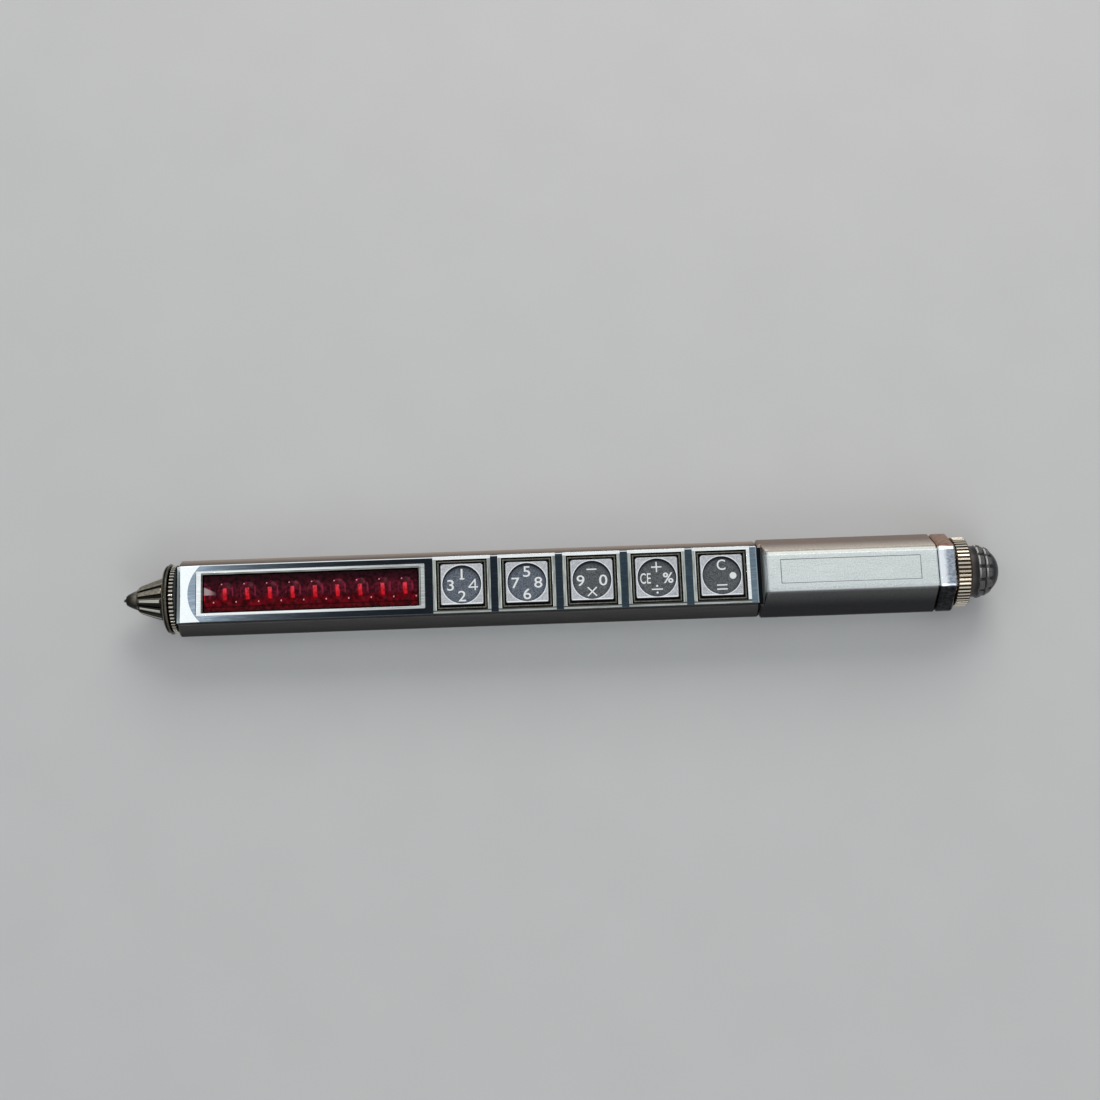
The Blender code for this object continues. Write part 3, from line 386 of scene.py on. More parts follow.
mirror, shade = finish("plate_polish", Metallic=1.0)
x, y, z = axes(shade)
wear = noise(shade, 3000, detail=4)
drawn = noise(shade, 500, 5000, 5000, detail=3)
along = (x - PLATE_FRONT) / (PLATE_REAR - PLATE_FRONT)
# The low field's colour is a painted reflection: dark, lighter towards the rear, bright at the
# front where it fades, and lighter behind the last key.
field = layered(
    along.rise(0.4, 1.0).blend((0.013, 0.016, 0.022), (0.05, 0.076, 0.098)),
    (shade.maths("EXPONENT", (along - FADE_START).larger(0.0) * -FADE_RATE), (0.34, 0.42, 0.5)),
    (x.past(KEYS_REAR, 0.0001), (0.165, 0.225, 0.266)))
stepped = (x - STEP_CENTRE).hypot(y).past(STEP_RADIUS, 0.00003) * x.before(STEP_END, 0.00005)
lip = x.fall(PLATE_FRONT + 0.0002, PLATE_FRONT + 0.0009)
low_face = z.fall(PLATE_FACE + 0.00004, PLATE_FACE + 0.00006)
# Painted reflections on the front step, the lip and the rear edge, a painted highlight along the
# upper edge and painted shade along the lower one; the lip's metal is turned down to take light.
colour = layered(
    (drawn.rise(0.4, 0.8) * 0.5 + 0.8).tint(field),
    (stepped, (0.62, 0.65, 0.65)),
    (lip, (0.78, 0.92, 0.96)),
    (y.rise(PLATE_HALF - 0.0002, PLATE_HALF - 0.00013) * low_face, (0.9, 0.92, 0.9)),
    (y.fall(-PLATE_HALF + 0.00004, -PLATE_HALF + 0.0001) * low_face, (0.1, 0.12, 0.12)),
    (x.rise(PLATE_REAR - 0.0002, PLATE_REAR - 0.00014), (0.3, 0.37, 0.42)))

# Bars of the bezels and of the display's frame, painted as reflections: bright along their outer
# edges, darker on the lower and side bars and where they lean in to the openings, with painted
# shade along the lower bars' inner edge.
from_key = abs(from_key_centre(x))
across_pen = abs(y)
keyed = x.past(KEYS_FRONT, 0.0001)
streaks = noise(shade, 300, 6500, 3000, detail=3).rise(0.35, 0.65)
cross_streaks = noise(shade, 6500, 300, 3000, detail=3).rise(0.36, 0.64)
raised = z.rise(PLATE_FACE + 0.00004, BEZEL_FACE - 0.00006)
side_bar = from_key.rise(KEY_OPENING - 0.00004, KEY_OPENING + 0.00002) * keyed
side_bar = side_bar * across_pen.fall(KEY_OPENING, KEY_OPENING + 0.0001)
side_bar = side_bar * x.rise(KEYS_REAR - 0.0005, KEYS_REAR - 0.0004, 1, 0.15)
inner_line = from_key.fall(KEY_OPENING + 0.00006, KEY_OPENING + 0.00014)
side_tone = inner_line.blend((0.4, 0.42, 0.38), (0.66, 0.69, 0.65))
low_bar = y.fall(-KEY_OPENING, -KEY_OPENING + 0.00006) * keyed
foot_line = low_bar * y.rise(-KEY_OPENING - 0.0003, -KEY_OPENING - 0.0002)
bar = low_bar.blend((0.97, 0.99, 0.97), (0.4, 0.42, 0.4))
bar = foot_line.blend(bar, (0.05, 0.05, 0.045))
bar = (streaks * (low_bar * 0.3 + 0.12) + 0.88 - low_bar * 0.14).tint(bar)
darkened_frame = x.rise(*FRAME_DARKENING) * (1 - keyed)
bar = (1 - darkened_frame * (streaks * 0.3 + 0.3)).tint(bar)
bar = side_bar.blend(bar, (cross_streaks * 0.7 + 0.6).tint(side_tone))

# The display opening's sloped edge carries a painted reflection, lighter on its upper side.
sloped = across_pen.fall(DISPLAY_HALF + OPENING_SLOPE - 0.00003, DISPLAY_HALF + OPENING_SLOPE)
sloped = sloped * x.between(DISPLAY_FRONT - OPENING_SLOPE, DISPLAY_REAR + OPENING_SLOPE, 0.00002)
shine = y.rise(DISPLAY_HALF - 0.00004, DISPLAY_HALF + 0.00002)
shine = (streaks * 0.7 + 0.6).tint(shine.blend((0.12, 0.12, 0.11), (0.27, 0.27, 0.25)))
twin_line = x.between(DISPLAY_REAR + 0.00036, DISPLAY_REAR + 0.00052, 0.00005)
twin_line = twin_line * across_pen.fall(DISPLAY_HALF, DISPLAY_HALF + 0.0004)
key_walls = from_key.between(*KEY_WALL) * keyed
end_walls = across_pen.between(*KEY_WALL) * keyed
end_walls = end_walls * from_key.fall(KEY_OPENING, KEY_OPENING + 0.00002)
window_walls = across_pen.fall(DISPLAY_HALF + 0.00001, DISPLAY_HALF + 0.00002)
window_walls = window_walls * x.between(DISPLAY_FRONT - 0.00002, DISPLAY_REAR + 0.00002, 0.00001)
# The openings' inner walls are painted near black: painted shade.
closed = z.fall(BEZEL_FACE - 0.0003, BEZEL_FACE - 0.00012)
closed = closed * key_walls.larger(end_walls).larger(window_walls)
colour = layered(colour, (raised, bar), (sloped, shine), (twin_line, (0.08, 0.09, 0.08)),
                 (closed, (0.008, 0.008, 0.008)))
feed(shade, Base_Color=colour, Metallic=1 - lip * 0.8, Roughness=wear * 0.14 + 0.08,
     Normal=noise(shade, 700).bump(0.12, 0.00002))


def bezelled(mesh, near=0.00002, reach=0.0001):
    """The plate's copy, with the upper edge of the display's opening cut to a slope."""
    shape = bmesh.new()
    shape.from_mesh(mesh)

    def on_edge(place):
        from_end = min(abs(place.x - DISPLAY_FRONT), abs(place.x - DISPLAY_REAR))
        beside = DISPLAY_FRONT - reach < place.x < DISPLAY_REAR + reach
        beside = beside and abs(abs(place.y) - DISPLAY_HALF) < near
        at_end = from_end < near and abs(place.y) < DISPLAY_HALF + reach
        return abs(place.z - BEZEL_FACE) < near and (beside or at_end)

    rim = [edge for edge in shape.edges if all(on_edge(vertex.co) for vertex in edge.verts)]
    bmesh.ops.bevel(shape, geom=rim, offset=OPENING_SLOPE, segments=1, affect="EDGES")
    shape.to_mesh(mesh)
    shape.free()
    return mesh


plate_mesh = smooth(bevelled(bezelled(merged_copy("face_plate")), 0.00007), 30)
piece("face_plate", plate_mesh, mirror, "body")


# Display window. Clear red plastic moulded in one strip, with a domed magnifier over each of
# the nine digits. It is clipped under the plate. The dies under it are painted on it as bright
# red strokes, with painted glows, painted reflections and painted highlights about them.
WINDOW_BASE = 0.01035   # height of the strip's face, between the lenses
LENS_HEIGHT = 0.00063
LENS_SINK = 0.0001      # the lens's foot is this far below the strip's face
LENS_HALF = (0.0018, 0.0024)
LENS_POWER = 2.3
LENS_RINGS = 9
LENS_CORNERS = 28
FIRST_DIGIT = PLATE_FRONT + 0.00881
DIGIT_PITCH = 0.00406
DIGIT_COUNT = 9
GLINTS = ((0.00066, 0.00163, 0.0001), (-0.00196, -0.00162, 0.00012))    # painted highlights: left, up and size
WEDGE_LENGTH = 0.0026   # of the pale reflection at the strip's front end


def repeat_tree():
    """Repeats a shape, each copy stepped along and turned by the same amount from the last."""
    tree = bpy.data.node_groups.new("repeat", "GeometryNodeTree")
    for name, kind in (("Shape", "Geometry"), ("Count", "Int"), ("Start", "Vector"),
                       ("Step", "Vector"), ("Turn", "Vector"), ("Finish", "Material")):
        tree.interface.new_socket(name, in_out="INPUT", socket_type="NodeSocket" + kind)
    tree.interface.new_socket("Shape", in_out="OUTPUT", socket_type="NodeSocketGeometry")
    given = tree.nodes.new("NodeGroupInput")
    row = tree.nodes.new("GeometryNodeMeshLine")
    row.mode = "OFFSET"
    number = tree.nodes.new("GeometryNodeInputIndex")
    turned = tree.nodes.new("ShaderNodeVectorMath")
    turned.operation = "SCALE"
    spin = tree.nodes.new("FunctionNodeEulerToRotation")
    copies = tree.nodes.new("GeometryNodeInstanceOnPoints")
    real = tree.nodes.new("GeometryNodeRealizeInstances")
    joined = tree.nodes.new("GeometryNodeMergeByDistance")
    joined.inputs["Distance"].default_value = WELD
    dressed = tree.nodes.new("GeometryNodeSetMaterial")
    result = tree.nodes.new("NodeGroupOutput")
    for source, output, target, socket in (
            (given, "Count", row, "Count"), (given, "Start", row, "Start Location"),
            (given, "Step", row, "Offset"), (given, "Turn", turned, 0),
            (number, 0, turned, "Scale"), (turned, 0, spin, 0),
            (row, 0, copies, "Points"), (given, "Shape", copies, "Instance"),
            (spin, 0, copies, "Rotation"), (copies, 0, real, 0), (real, 0, joined, 0),
            (joined, 0, dressed, 0), (given, "Finish", dressed, "Material"),
            (dressed, 0, result, 0)):
        tree.links.new(source.outputs[output], target.inputs[socket])
    return tree


repeat = repeat_tree()


def repeated(shape, material, count, start, step=(0, 0, 0), turn=(0, 0, 0)):
    """The mesh of count copies of a shape, made by the repeat tree."""
    made = placed("repeating", shape)
    made.modifiers.new("repeat", "NODES").node_group = repeat
    values = {"Count": count, "Start": start, "Step": step, "Turn": turn, "Finish": material}
    for socket in repeat.interface.items_tree:
        if socket.in_out == "INPUT" and socket.name in values:
            made.modifiers["repeat"][socket.identifier] = values[socket.name]
    return plain_mesh(made)


def mesh_of(shape):
    """A mesh from a bmesh, its faces turned outwards."""
    bmesh.ops.recalc_face_normals(shape, faces=shape.faces)
    mesh = bpy.data.meshes.new("shape")
    shape.to_mesh(mesh)
    shape.free()
    return mesh


def add_box(shape, low, high):
    """Adds to the bmesh a box between two corners."""
    for vertex in bmesh.ops.create_cube(shape, size=1)["verts"]:
        vertex.co = [near if share < 0 else far for share, near, far in zip(vertex.co, low, high)]


def lens_shape():
    """One closed magnifier dome, with its foot sunk in the strip's face."""
    shape = bmesh.new()
    top = shape.verts.new((0, 0, LENS_HEIGHT))
    loops = []
    for ring in range(1, LENS_RINGS + 1):
        share = ring / LENS_RINGS
        height = (LENS_HEIGHT + LENS_SINK) * (1 - share ** LENS_POWER) - LENS_SINK
        turns = [step * math.tau / LENS_CORNERS for step in range(LENS_CORNERS)]
        loops.append([shape.verts.new((LENS_HALF[0] * share * math.cos(turn),
                                       LENS_HALF[1] * share * math.sin(turn), height))
                      for turn in turns])
    for corner in range(LENS_CORNERS):
        after = (corner + 1) % LENS_CORNERS
        shape.faces.new((top, loops[0][corner], loops[0][after]))
        for inside, outside in zip(loops, loops[1:]):
            shape.faces.new((inside[corner], outside[corner], outside[after], inside[after]))
    shape.faces.new(loops[-1])
    return mesh_of(shape)


window, shade = finish("red_window", IOR=1.45, Specular_IOR_Level=0.05)
x, y, _ = axes(shade)
digit = (x - (FIRST_DIGIT - DIGIT_PITCH / 2)) / DIGIT_PITCH
along = (shade.maths("FRACT", digit) - 0.5) * DIGIT_PITCH
lean = along + y * 0.06
cloud = noise(shade, 900, 1100, 900, detail=3)
mist = noise(shade, 350, 500, 500)
depth = noise(shade, 1400, 1500, 900, detail=3)
sparkle = noise(shade, 3200, 1500, 1500).rise(0.36, 0.56)
# Painted light about each digit: a painted reflection in an arch beside the stroke and a painted
# red glow round it.
arch = along.hypot((y + 0.0002) * 0.6481).between(0.00112, 0.00146, 0.00018)
arch = arch * cloud.rise(0.35, 0.6) * y.rise(-0.0012, 0.0002)
glow = ((along + 0.0001) * 1.6125).hypot((y + 0.0005) * 0.7071).fall(0.0005, 0.0012)
low_band = y.between(-0.00225, -0.0013, 0.0002) * cloud.rise(0.3, 0.7)
tone = layered(
    y.rise(0.0004, 0.0026).blend((0.1, 0.008, 0.018), (0.03, 0.004, 0.008)),
    (y.fall(-0.0012, -0.0006), (0.12, 0.001, 0.005)),
    (mist.rise(0.4, 0.7) * 0.45, (0.035, 0.003, 0.008)),
    (arch * 0.6, (0.26, 0.02, 0.05)),
    (glow * 0.6, (0.3, 0.002, 0.01)),
    (low_band * 0.8, (0.2, 0.002, 0.01)),
    (y.between(-0.0026, -0.0024, 0.0001) * 0.85, (0.03, 0.001, 0.001)),
    (y.fall(-0.0028, -0.0026) * cloud.rise(0.2, 0.6), (0.11, 0.005, 0.008)))
tone = (depth.rise(0.32, 0.66) * 0.95 + 0.35).tint(tone)
# Each stroke stands for a die seen through its lens; its brightness is painted light, lighter
# towards the top.
stroke = lean.between(-0.00036, 0.00032, 0.00008) * y.between(-0.00128, 0.00082, 0.00012)
second = (lean - 0.0001).between(0.00112, 0.00134, 0.0001) * y.between(-0.0006, 0.0011, 0.0003)
lit = y.rise(-0.0006, 0.0006).blend((0.8, 0.014, 0.026), (0.9, 0.06, 0.09))
tone = layered(tone, (stroke * (sparkle * 0.6 + 0.4), lit), (second * 0.6, (0.36, 0.03, 0.07)))
for left, up, size in GLINTS:
    glint = (along + left).hypot(y - up).fall(size * 0.7, size * 1.7)
    tone = glint.blend(tone, (0.95, 0.42, 0.46))
share = (x - DISPLAY_FRONT) / WEDGE_LENGTH
wedge = y.rise(-0.0003, -0.0002) * (y - (1 - share) * 0.0013).before(0, 0.00012)
wedge = wedge * share.rise(0.0, 0.04) * share.fall(0.2, 1.0)
tone = (wedge * 0.8).blend(tone, (0.62, 0.47, 0.48))
feed(shade, Base_Color=tone, Roughness=mist * 0.15 + 0.12,
     Normal=noise(shade, 900, detail=1).bump(0.1, 0.00002))

strip = bmesh.new()
window_low, window_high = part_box("display_window")
add_box(strip, window_low, (window_high[0], window_high[1], WINDOW_BASE))
strip.from_mesh(repeated(lens_shape(), window, DIGIT_COUNT, (FIRST_DIGIT, 0, WINDOW_BASE),
                         step=(DIGIT_PITCH, 0, 0)))
piece("display_window", smooth(mesh_of(strip), 50), window, "body")


# Keys. Each is a satin metal cap with a dark printed dial sunk in it. The cap rocks in a thin
# frame and the frame rocks in the bezel, so that it can be pressed at any of its four legends.
FRAME_LINE = (0.00413, 0.00434, 0.00003)    # the bright line on each frame, from its middle
FRAME_FACE = 0.01088
CAP_HALF = 0.003815
CAP_CORNER = 0.0009
CAP_SHARPER = 0.00045       # the corners' round is made this much tighter
DIAL_RADIUS = 0.00345
DIAL_RIM_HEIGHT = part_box("key_1_dial")[1][2]
DIAL_DISH = 0.00006
DIAL_DISH_RADIUS = 0.00315
LEGEND_SIZE = 0.0031
LEGEND_OUT = 0.00205        # from the dial's middle to each legend's own
LEGEND_DROP = 0.00005
STROKE = 0.00024
INK_THICK = 0.00002
INK_LIFT = 0.000014
LEGEND_PLACES = ((0, 1), (-1, 0), (1, 0), (0, -1))      # above, left, right and below
KEY_LEGENDS = (("1", "3", "4", "2"), ("5", "7", "8", "6"), ("−", "9", "0", "×"),
               ("+", "CE", "%", "÷"), ("C", "", "•", "="))
DRAWN = "−+×÷=•4"   # these are made of bars and dots alone
BARS = {            # each bar's middle, length and turn in degrees; each dot's middle and radius
    "−": (((0, 0, 0.0018, 0),), ()),
    "+": (((0, 0, 0.00188, 0), (0, 0, 0.00188, 90)), ()),
    "×": (((0, 0, 0.0023, 45), (0, 0, 0.0023, -45)), ()),
    "÷": (((0, 0, 0.002, 0),), ((0, 0.00062, 0.0002), (0, -0.00062, 0.0002))),
    "=": (((0, 0.00038, 0.0019, 0), (0, -0.00038, 0.0019, 0)), ()),
    "•": ((), ((0, 0, 0.00062),)),
    "1": (((0.00005, -0.00094, 0.00085, 0),), ()),
    "4": (((0.00034, 0, 0.00208, 90), (0, -0.00046, 0.00172, 0), (-0.00024, 0.00024, 0.0019, 50)),
          ())}
LETTER_SHAPES = {"C": (0.8, 0.87), "CE": (0.54, 0.88), "%": (0.9, 0.86), "1": (1.0, 0.82)}
PLAIN_SHAPE = (1.04, 0.9)   # the others' width and height, as shares of the type's

frame_bronze, shade = finish("key_frame", Metallic=1.0)
x, y, z = axes(shade)
grain = noise(shade, 5000)
# The frame is painted near black but for the line on its top face: painted shade round the cap.
edge_line = abs(from_key_centre(x)).larger(abs(y)).between(*FRAME_LINE)
tone = grain.rise(0.3, 0.7).blend((0.075, 0.072, 0.06), (0.17, 0.165, 0.14))
tone = (edge_line * z.rise(FRAME_FACE - 0.00003, FRAME_FACE)).blend((0.006, 0.006, 0.006), tone)
feed(shade, Base_Color=tone, Roughness=grain * 0.2 + 0.25)

cap_satin, shade = finish("key_cap", Metallic=1.0)
x, y, z = axes(shade)
grain = noise(shade, 7000)
speckle_and_highlight = (grain * 0.8 + noise(shade, 1500) * 0.2).rise(0.34, 0.66)
across = from_key_centre(x)
# Painted highlights along the cap's edges and round its dial; painted shade along its lower edge
# and on its sides below the plate's face.
bright = abs(across).larger(y.larger(0.0002 - y)).rise(CAP_HALF - 0.00026, CAP_HALF - 0.00012)
bright = bright.larger(across.hypot(y).fall(DIAL_RADIUS + 0.00012, DIAL_RADIUS + 0.0003))
tone = layered(
    speckle_and_highlight.blend((0.32, 0.325, 0.34), (0.56, 0.57, 0.59)),
    (bright * 0.85, (0.84, 0.86, 0.87)),
    (y.fall(-CAP_HALF + 0.00013, -CAP_HALF + 0.00021), (0.03, 0.03, 0.032)),
    (z.fall(PLATE_FACE, PLATE_FACE + 0.00018), (0.012, 0.012, 0.013)))
feed(shade, Base_Color=tone, Roughness=grain * 0.2 + 0.24,
     Normal=grain.bump(0.4, 0.00001))


def squared(mesh, centre):
    """The cap's copy, with the round of its four corners made tighter."""
    reach = CAP_HALF - CAP_CORNER
    for vertex in mesh.vertices:
        out_x, out_y = abs(vertex.co.x - centre) - reach, abs(vertex.co.y) - reach
        if min(out_x, out_y) > -0.00001:
            away = math.hypot(out_x, out_y)
            vertex.co.x += math.copysign(CAP_SHARPER * (1 - out_x / away), vertex.co.x - centre)
            vertex.co.y += math.copysign(CAP_SHARPER * (1 - out_y / away), vertex.co.y)
    return mesh


def dial_finish(name, light, dark):
    """Dark lacquer on the sunk dial, finely speckled, with a painted shadow under the
    recess's upper edge.
    """
    made, shade = finish(name, Metallic=0.2, Specular_IOR_Level=0.35)
    x, y, _ = axes(shade)
    grain = noise(shade, 5500)
    low_middle = from_key_centre(x).hypot(y + 0.00036)
    tone = layered(
        grain.rise(0.33, 0.67).blend(dark, light),
        (low_middle.rise(DIAL_RADIUS - 0.0009, DIAL_RADIUS) * 0.5, (0.02, 0.025, 0.045)),
        (low_middle.past(DIAL_RADIUS, 0.00006), (0.003, 0.004, 0.008)))
    feed(shade, Base_Color=tone, Roughness=grain * 0.2 + 0.4,
         Normal=grain.bump(0.25, 0.000008))
    return made


blue_dial = dial_finish("blue_dial", (0.175, 0.2, 0.235), (0.04, 0.052, 0.075))
grey_dial = dial_finish("grey_dial", (0.14, 0.15, 0.155), (0.033, 0.037, 0.042))

ink, shade = finish("legend_ink", Roughness=0.5)
feed(shade, Base_Color=noise(shade, 6000).blend((0.8, 0.83, 0.84), (0.95, 0.97, 0.98)))


def written_shape(character):
    """A letter or digit as a flat mesh about its own middle, a little bolder than the type."""
    written = bpy.data.curves.new("legend", "FONT")
    written.body = character
    written.size = LEGEND_SIZE
    written.offset = 0.00005 if character == "%" else 0.00002
    written.extrude = INK_THICK / 2
    made = placed("writing", written)
    bpy.context.view_layer.update()
    mesh = plain_mesh(made)
    across = [vertex.co.x for vertex in mesh.vertices]
    up = [vertex.co.y for vertex in mesh.vertices]
    wide, tall = LETTER_SHAPES.get(character, PLAIN_SHAPE)
    for vertex in mesh.vertices:
        vertex.co.x = (vertex.co.x - (max(across) + min(across)) / 2) * wide
        vertex.co.y = (vertex.co.y - (max(up) + min(up)) / 2) * tall
    return mesh


def legend(character, place, key_centre):
    """One character printed at a place on a key's dial, following its dish."""
    shape = bmesh.new()
    if character not in DRAWN:
        shape.from_mesh(written_shape(character))
    bars, dots = BARS.get(character, ((), ()))
    for middle_x, middle_y, length, turn in bars:
        cosine, sine = math.cos(math.radians(turn)), math.sin(math.radians(turn))
        for vertex in bmesh.ops.create_cube(shape, size=1)["verts"]:
            over, side = vertex.co.x * length, vertex.co.y * STROKE
            vertex.co = (middle_x + over * cosine - side * sine,
                         middle_y + over * sine + side * cosine, vertex.co.z * INK_THICK)
    for middle_x, middle_y, radius in dots:
        dot = bmesh.ops.create_cone(shape, cap_ends=True, segments=20, radius1=radius,
                                    radius2=radius, depth=INK_THICK)["verts"]
        bmesh.ops.translate(shape, verts=dot, vec=(middle_x, middle_y, 0))
    bmesh.ops.remove_doubles(shape, verts=shape.verts, dist=WELD)
    for vertex in shape.verts:
        x, y = place[0] + vertex.co.x, place[1] + vertex.co.y
        share = min(1.0, math.hypot(x, y) / DIAL_DISH_RADIUS)
        dish = DIAL_RIM_HEIGHT - DIAL_DISH * (1 - share)
        vertex.co = (key_centre + x, y, dish + INK_LIFT + vertex.co.z)
    return mesh_of(shape)


for number, legends in enumerate(KEY_LEGENDS, 1):
    key = f"key_{number}"
    key_centre = KEY_CENTRES[number - 1]
    gimbal = smooth(bevelled(merged_copy(key + "_gimbal"), 0.00003))
    piece(key + "_gimbal", gimbal, frame_bronze, key + "_frame")
    cap = smooth(bevelled(squared(merged_copy(key + "_cap"), key_centre), 0.00005))
    piece(key + "_cap", cap, cap_satin, key)
    dial = smooth(merged_copy(key + "_dial"), 20)
    piece(key + "_dial", dial, blue_dial if number < 3 else grey_dial, key)
    printed = bmesh.new()
    for character, (side, up) in zip(legends, LEGEND_PLACES):
        if character:
            place = (side * LEGEND_OUT, up * LEGEND_OUT - LEGEND_DROP)
            printed.from_mesh(legend(character, place, key_centre))
    piece(key + "_legends", mesh_of(printed), ink, key)


# Rear barrel. A hexagonal aluminium sleeve over the button cells, brushed to the same satin,
# with a thin engraved border on its top flat. It is pressed over the body's spigot.
BARREL_REAR = ends("barrel_sleeve")[1]
BARREL_TOP = 0.013
PANEL = (BARREL_REAR - 0.02849, BARREL_REAR - 0.00309, -0.0023, 0.0022)     # its four sides
PANEL_LINE = 0.00016
PANEL_DEPTH = 0.00006
TOP_ROUND = (0.00308, 0.004)    # the rounded edge between the top flat and the back slope


def panel_cutter():
    """A rectangular frame that cuts the border's groove into the top flat."""
    left, right, low, high = PANEL
    shape = bmesh.new()
    for start, end, bottom, top in (
            (left, right, low, low + PANEL_LINE), (left, right, high - PANEL_LINE, high),
            (left, left + PANEL_LINE, low + PANEL_LINE, high - PANEL_LINE),
            (right - PANEL_LINE, right, low + PANEL_LINE, high - PANEL_LINE)):
        add_box(shape, (start, bottom, BARREL_TOP - PANEL_DEPTH), (end, top, BARREL_TOP + 0.001))
    return mesh_of(shape)


cutter = placed("panel_cutter", panel_cutter())
sleeve = placed("engraving", bevelled(merged_copy("barrel_sleeve"), 0.00006))
engrave = sleeve.modifiers.new("engrave", "BOOLEAN")
engrave.operation = "DIFFERENCE"
engrave.solver = "EXACT"
engrave.use_self = True
engrave.object = cutter
sleeve_mesh = smooth(plain_mesh(sleeve))
bpy.data.objects.remove(cutter)
# Its slopes carry painted light: a painted reflection on the back slope, lightest at its head, and
# painted shade on the front one.
barrel_metal, shade, (x, y, z), toned = satin(
    "barrel_satin", top=(0.6, 0.635, 0.62), back=((0.3, 0.22, 0.18), (0.76, 0.68, 0.59)),
    front=((0.032, 0.032, 0.034), (0.105, 0.105, 0.105)), climbs=(0.009, 0.0129),
    speck_size=0.00021, line_share=0.25)
left, right, low, high = PANEL
# The border's groove is painted dark: painted shade in it.
groove = z.fall(BARREL_TOP - 0.00005, BARREL_TOP - 0.00003)
groove = groove * x.between(left - 0.0001, right + 0.0001, 0.00002)
groove = groove * y.between(low - 0.0001, high + 0.0001, 0.00002)
toned = (groove * 0.75).blend(toned, (0.06, 0.07, 0.08))
# A painted highlight on the top flat near its back edge, and painted shade over its rounded back
# edge and along its front edge.
top_edge = y.between(*TOP_ROUND, 0.00006) * z.rise(BARREL_TOP - 0.00045, BARREL_TOP - 0.00035)
edge_shine = y.between(0.00295, 0.0032, 0.00006)
low_edge = y.fall(-0.00355, -0.0031) * z.rise(BARREL_TOP - 0.0004, BARREL_TOP - 0.0002)
toned = (1 - top_edge * 0.57 + edge_shine * 0.3 - low_edge * 0.4).tint(toned)
# The notch behind the plate is painted dark, painted shade; its shoulder's metal is turned down so
# that it takes light.
notched = x.fall(*SEAM_SHADOW) * y.between(-0.0051, 0.0044, 0.0003)
shoulder = x.rise(SHOULDER_HEAD - 0.0001, SHOULDER_HEAD, 0.7, 0)
shoulder = shoulder * z.past(FLAT_HEIGHT, 0.0001)
feed(shade, Base_Color=notched.blend(toned, SEAM_SHADE_PAINT),
     Metallic=1 - shoulder * y.between(-0.0042, 0.0044, 0.0003))
piece("barrel_sleeve", sleeve_mesh, barrel_metal, "body")


# Rear collar. A short polished hexagon on the end of the barrel, in line with its flats. Its
# facets are painted with broken reflections of the room: pale at the front of the top one,
# copper on the back one and near black on the front one.
collar_polish, shade = finish("collar_polish", Metallic=1.0)
x, y, _ = axes(shade)
collar_front = ends("rear_collar")[0]
wear = noise(shade, 1800, detail=4)
mottle = noise(shade, 1300, 2600, 2600, detail=4).rise(0.35, 0.65)
rearward = (x + wear * 0.0009).rise(collar_front + 0.0012, collar_front + 0.0023)
rear_tone = mottle.blend((0.24, 0.27, 0.31), (0.4, 0.44, 0.5))
tone = layered(
    rearward.blend((0.86, 0.89, 0.92), rear_tone),
    (y.rise(FACET_EDGE - 0.0001, FACET_EDGE + 0.0003),
     mottle.blend((0.32, 0.16, 0.095), (0.52, 0.29, 0.19))),
    (y.fall(-FACET_EDGE - 0.0002, -FACET_EDGE + 0.0001),
     mottle.blend((0.01, 0.011, 0.012), (0.035, 0.037, 0.04))))
feed(shade, Base_Color=tone, Roughness=wear * 0.16 + 0.07)
collar_mesh = smooth(bevelled(merged_copy("rear_collar"), 0.00009), 30)
piece("rear_collar", collar_mesh, collar_polish, "body")


# End ring. Turned and knurled with straight teeth, plated, and screwed into the barrel's end by
# a threaded sleeve that holds the button cells in.
THREAD_PITCH = 0.0008
THREAD_DEPTH = 0.00018
TEETH = 52
TOOTH_HEIGHT = 0.0003
TOOTH = ((0, 0), (0.2, 0), (0.27, 0.85), (0.33, 1), (0.67, 1), (0.73, 0.85), (0.8, 0), (1, 0))
SLEEVE_FRONT, RING_REAR = ends("end_ring")
RING_FRONT = RING_REAR - 0.0028
RING_RADIUS = 0.00635
RING_ROOT = RING_RADIUS - TOOTH_HEIGHT
SLEEVE_RADII = (0.00505, 0.00575)
AXLE_WAY = 0.00185      # radius of the hole for the dome's axle


def sector(path, count, profile, lift):
    """One of count like slices of a ring round the pen's axis. The path goes round the slice's
    section as (x, radius, share of the lift); the profile gives the lift across the slice."""
    shape = bmesh.new()
    rows = []
    for x, radius, share in path:
        row = []
        for across, raised in profile:
            angle = across * math.tau / count
            reach = radius + lift * share * raised
            row.append(shape.verts.new((x, reach * math.sin(angle), reach * math.cos(angle))))
        rows.append(row)
    for row, after in zip(rows, rows[1:] + rows[:1]):
        for corner in range(len(profile) - 1):
            shape.faces.new((row[corner], row[corner + 1], after[corner + 1], after[corner]))
    bmesh.ops.remove_doubles(shape, verts=shape.verts, dist=WELD / 10)
    mesh = bpy.data.meshes.new("sector")
    shape.to_mesh(mesh)
    shape.free()
    return mesh


def ringed_mesh(path, count, profile, lift, material, angle=38):
    """The whole ring of like slices, closed and smoothed."""
    mesh = repeated(sector(path, count, profile, lift), material, count, (0, 0, MID_HEIGHT),
                    turn=(-math.tau / count, 0, 0))
    shape = bmesh.new()
    shape.from_mesh(mesh)
    bmesh.ops.remove_doubles(shape, verts=shape.verts, dist=WELD)
    bmesh.ops.dissolve_degenerate(shape, edges=shape.edges, dist=WELD / 2)
    return smooth(mesh_of(shape), angle)


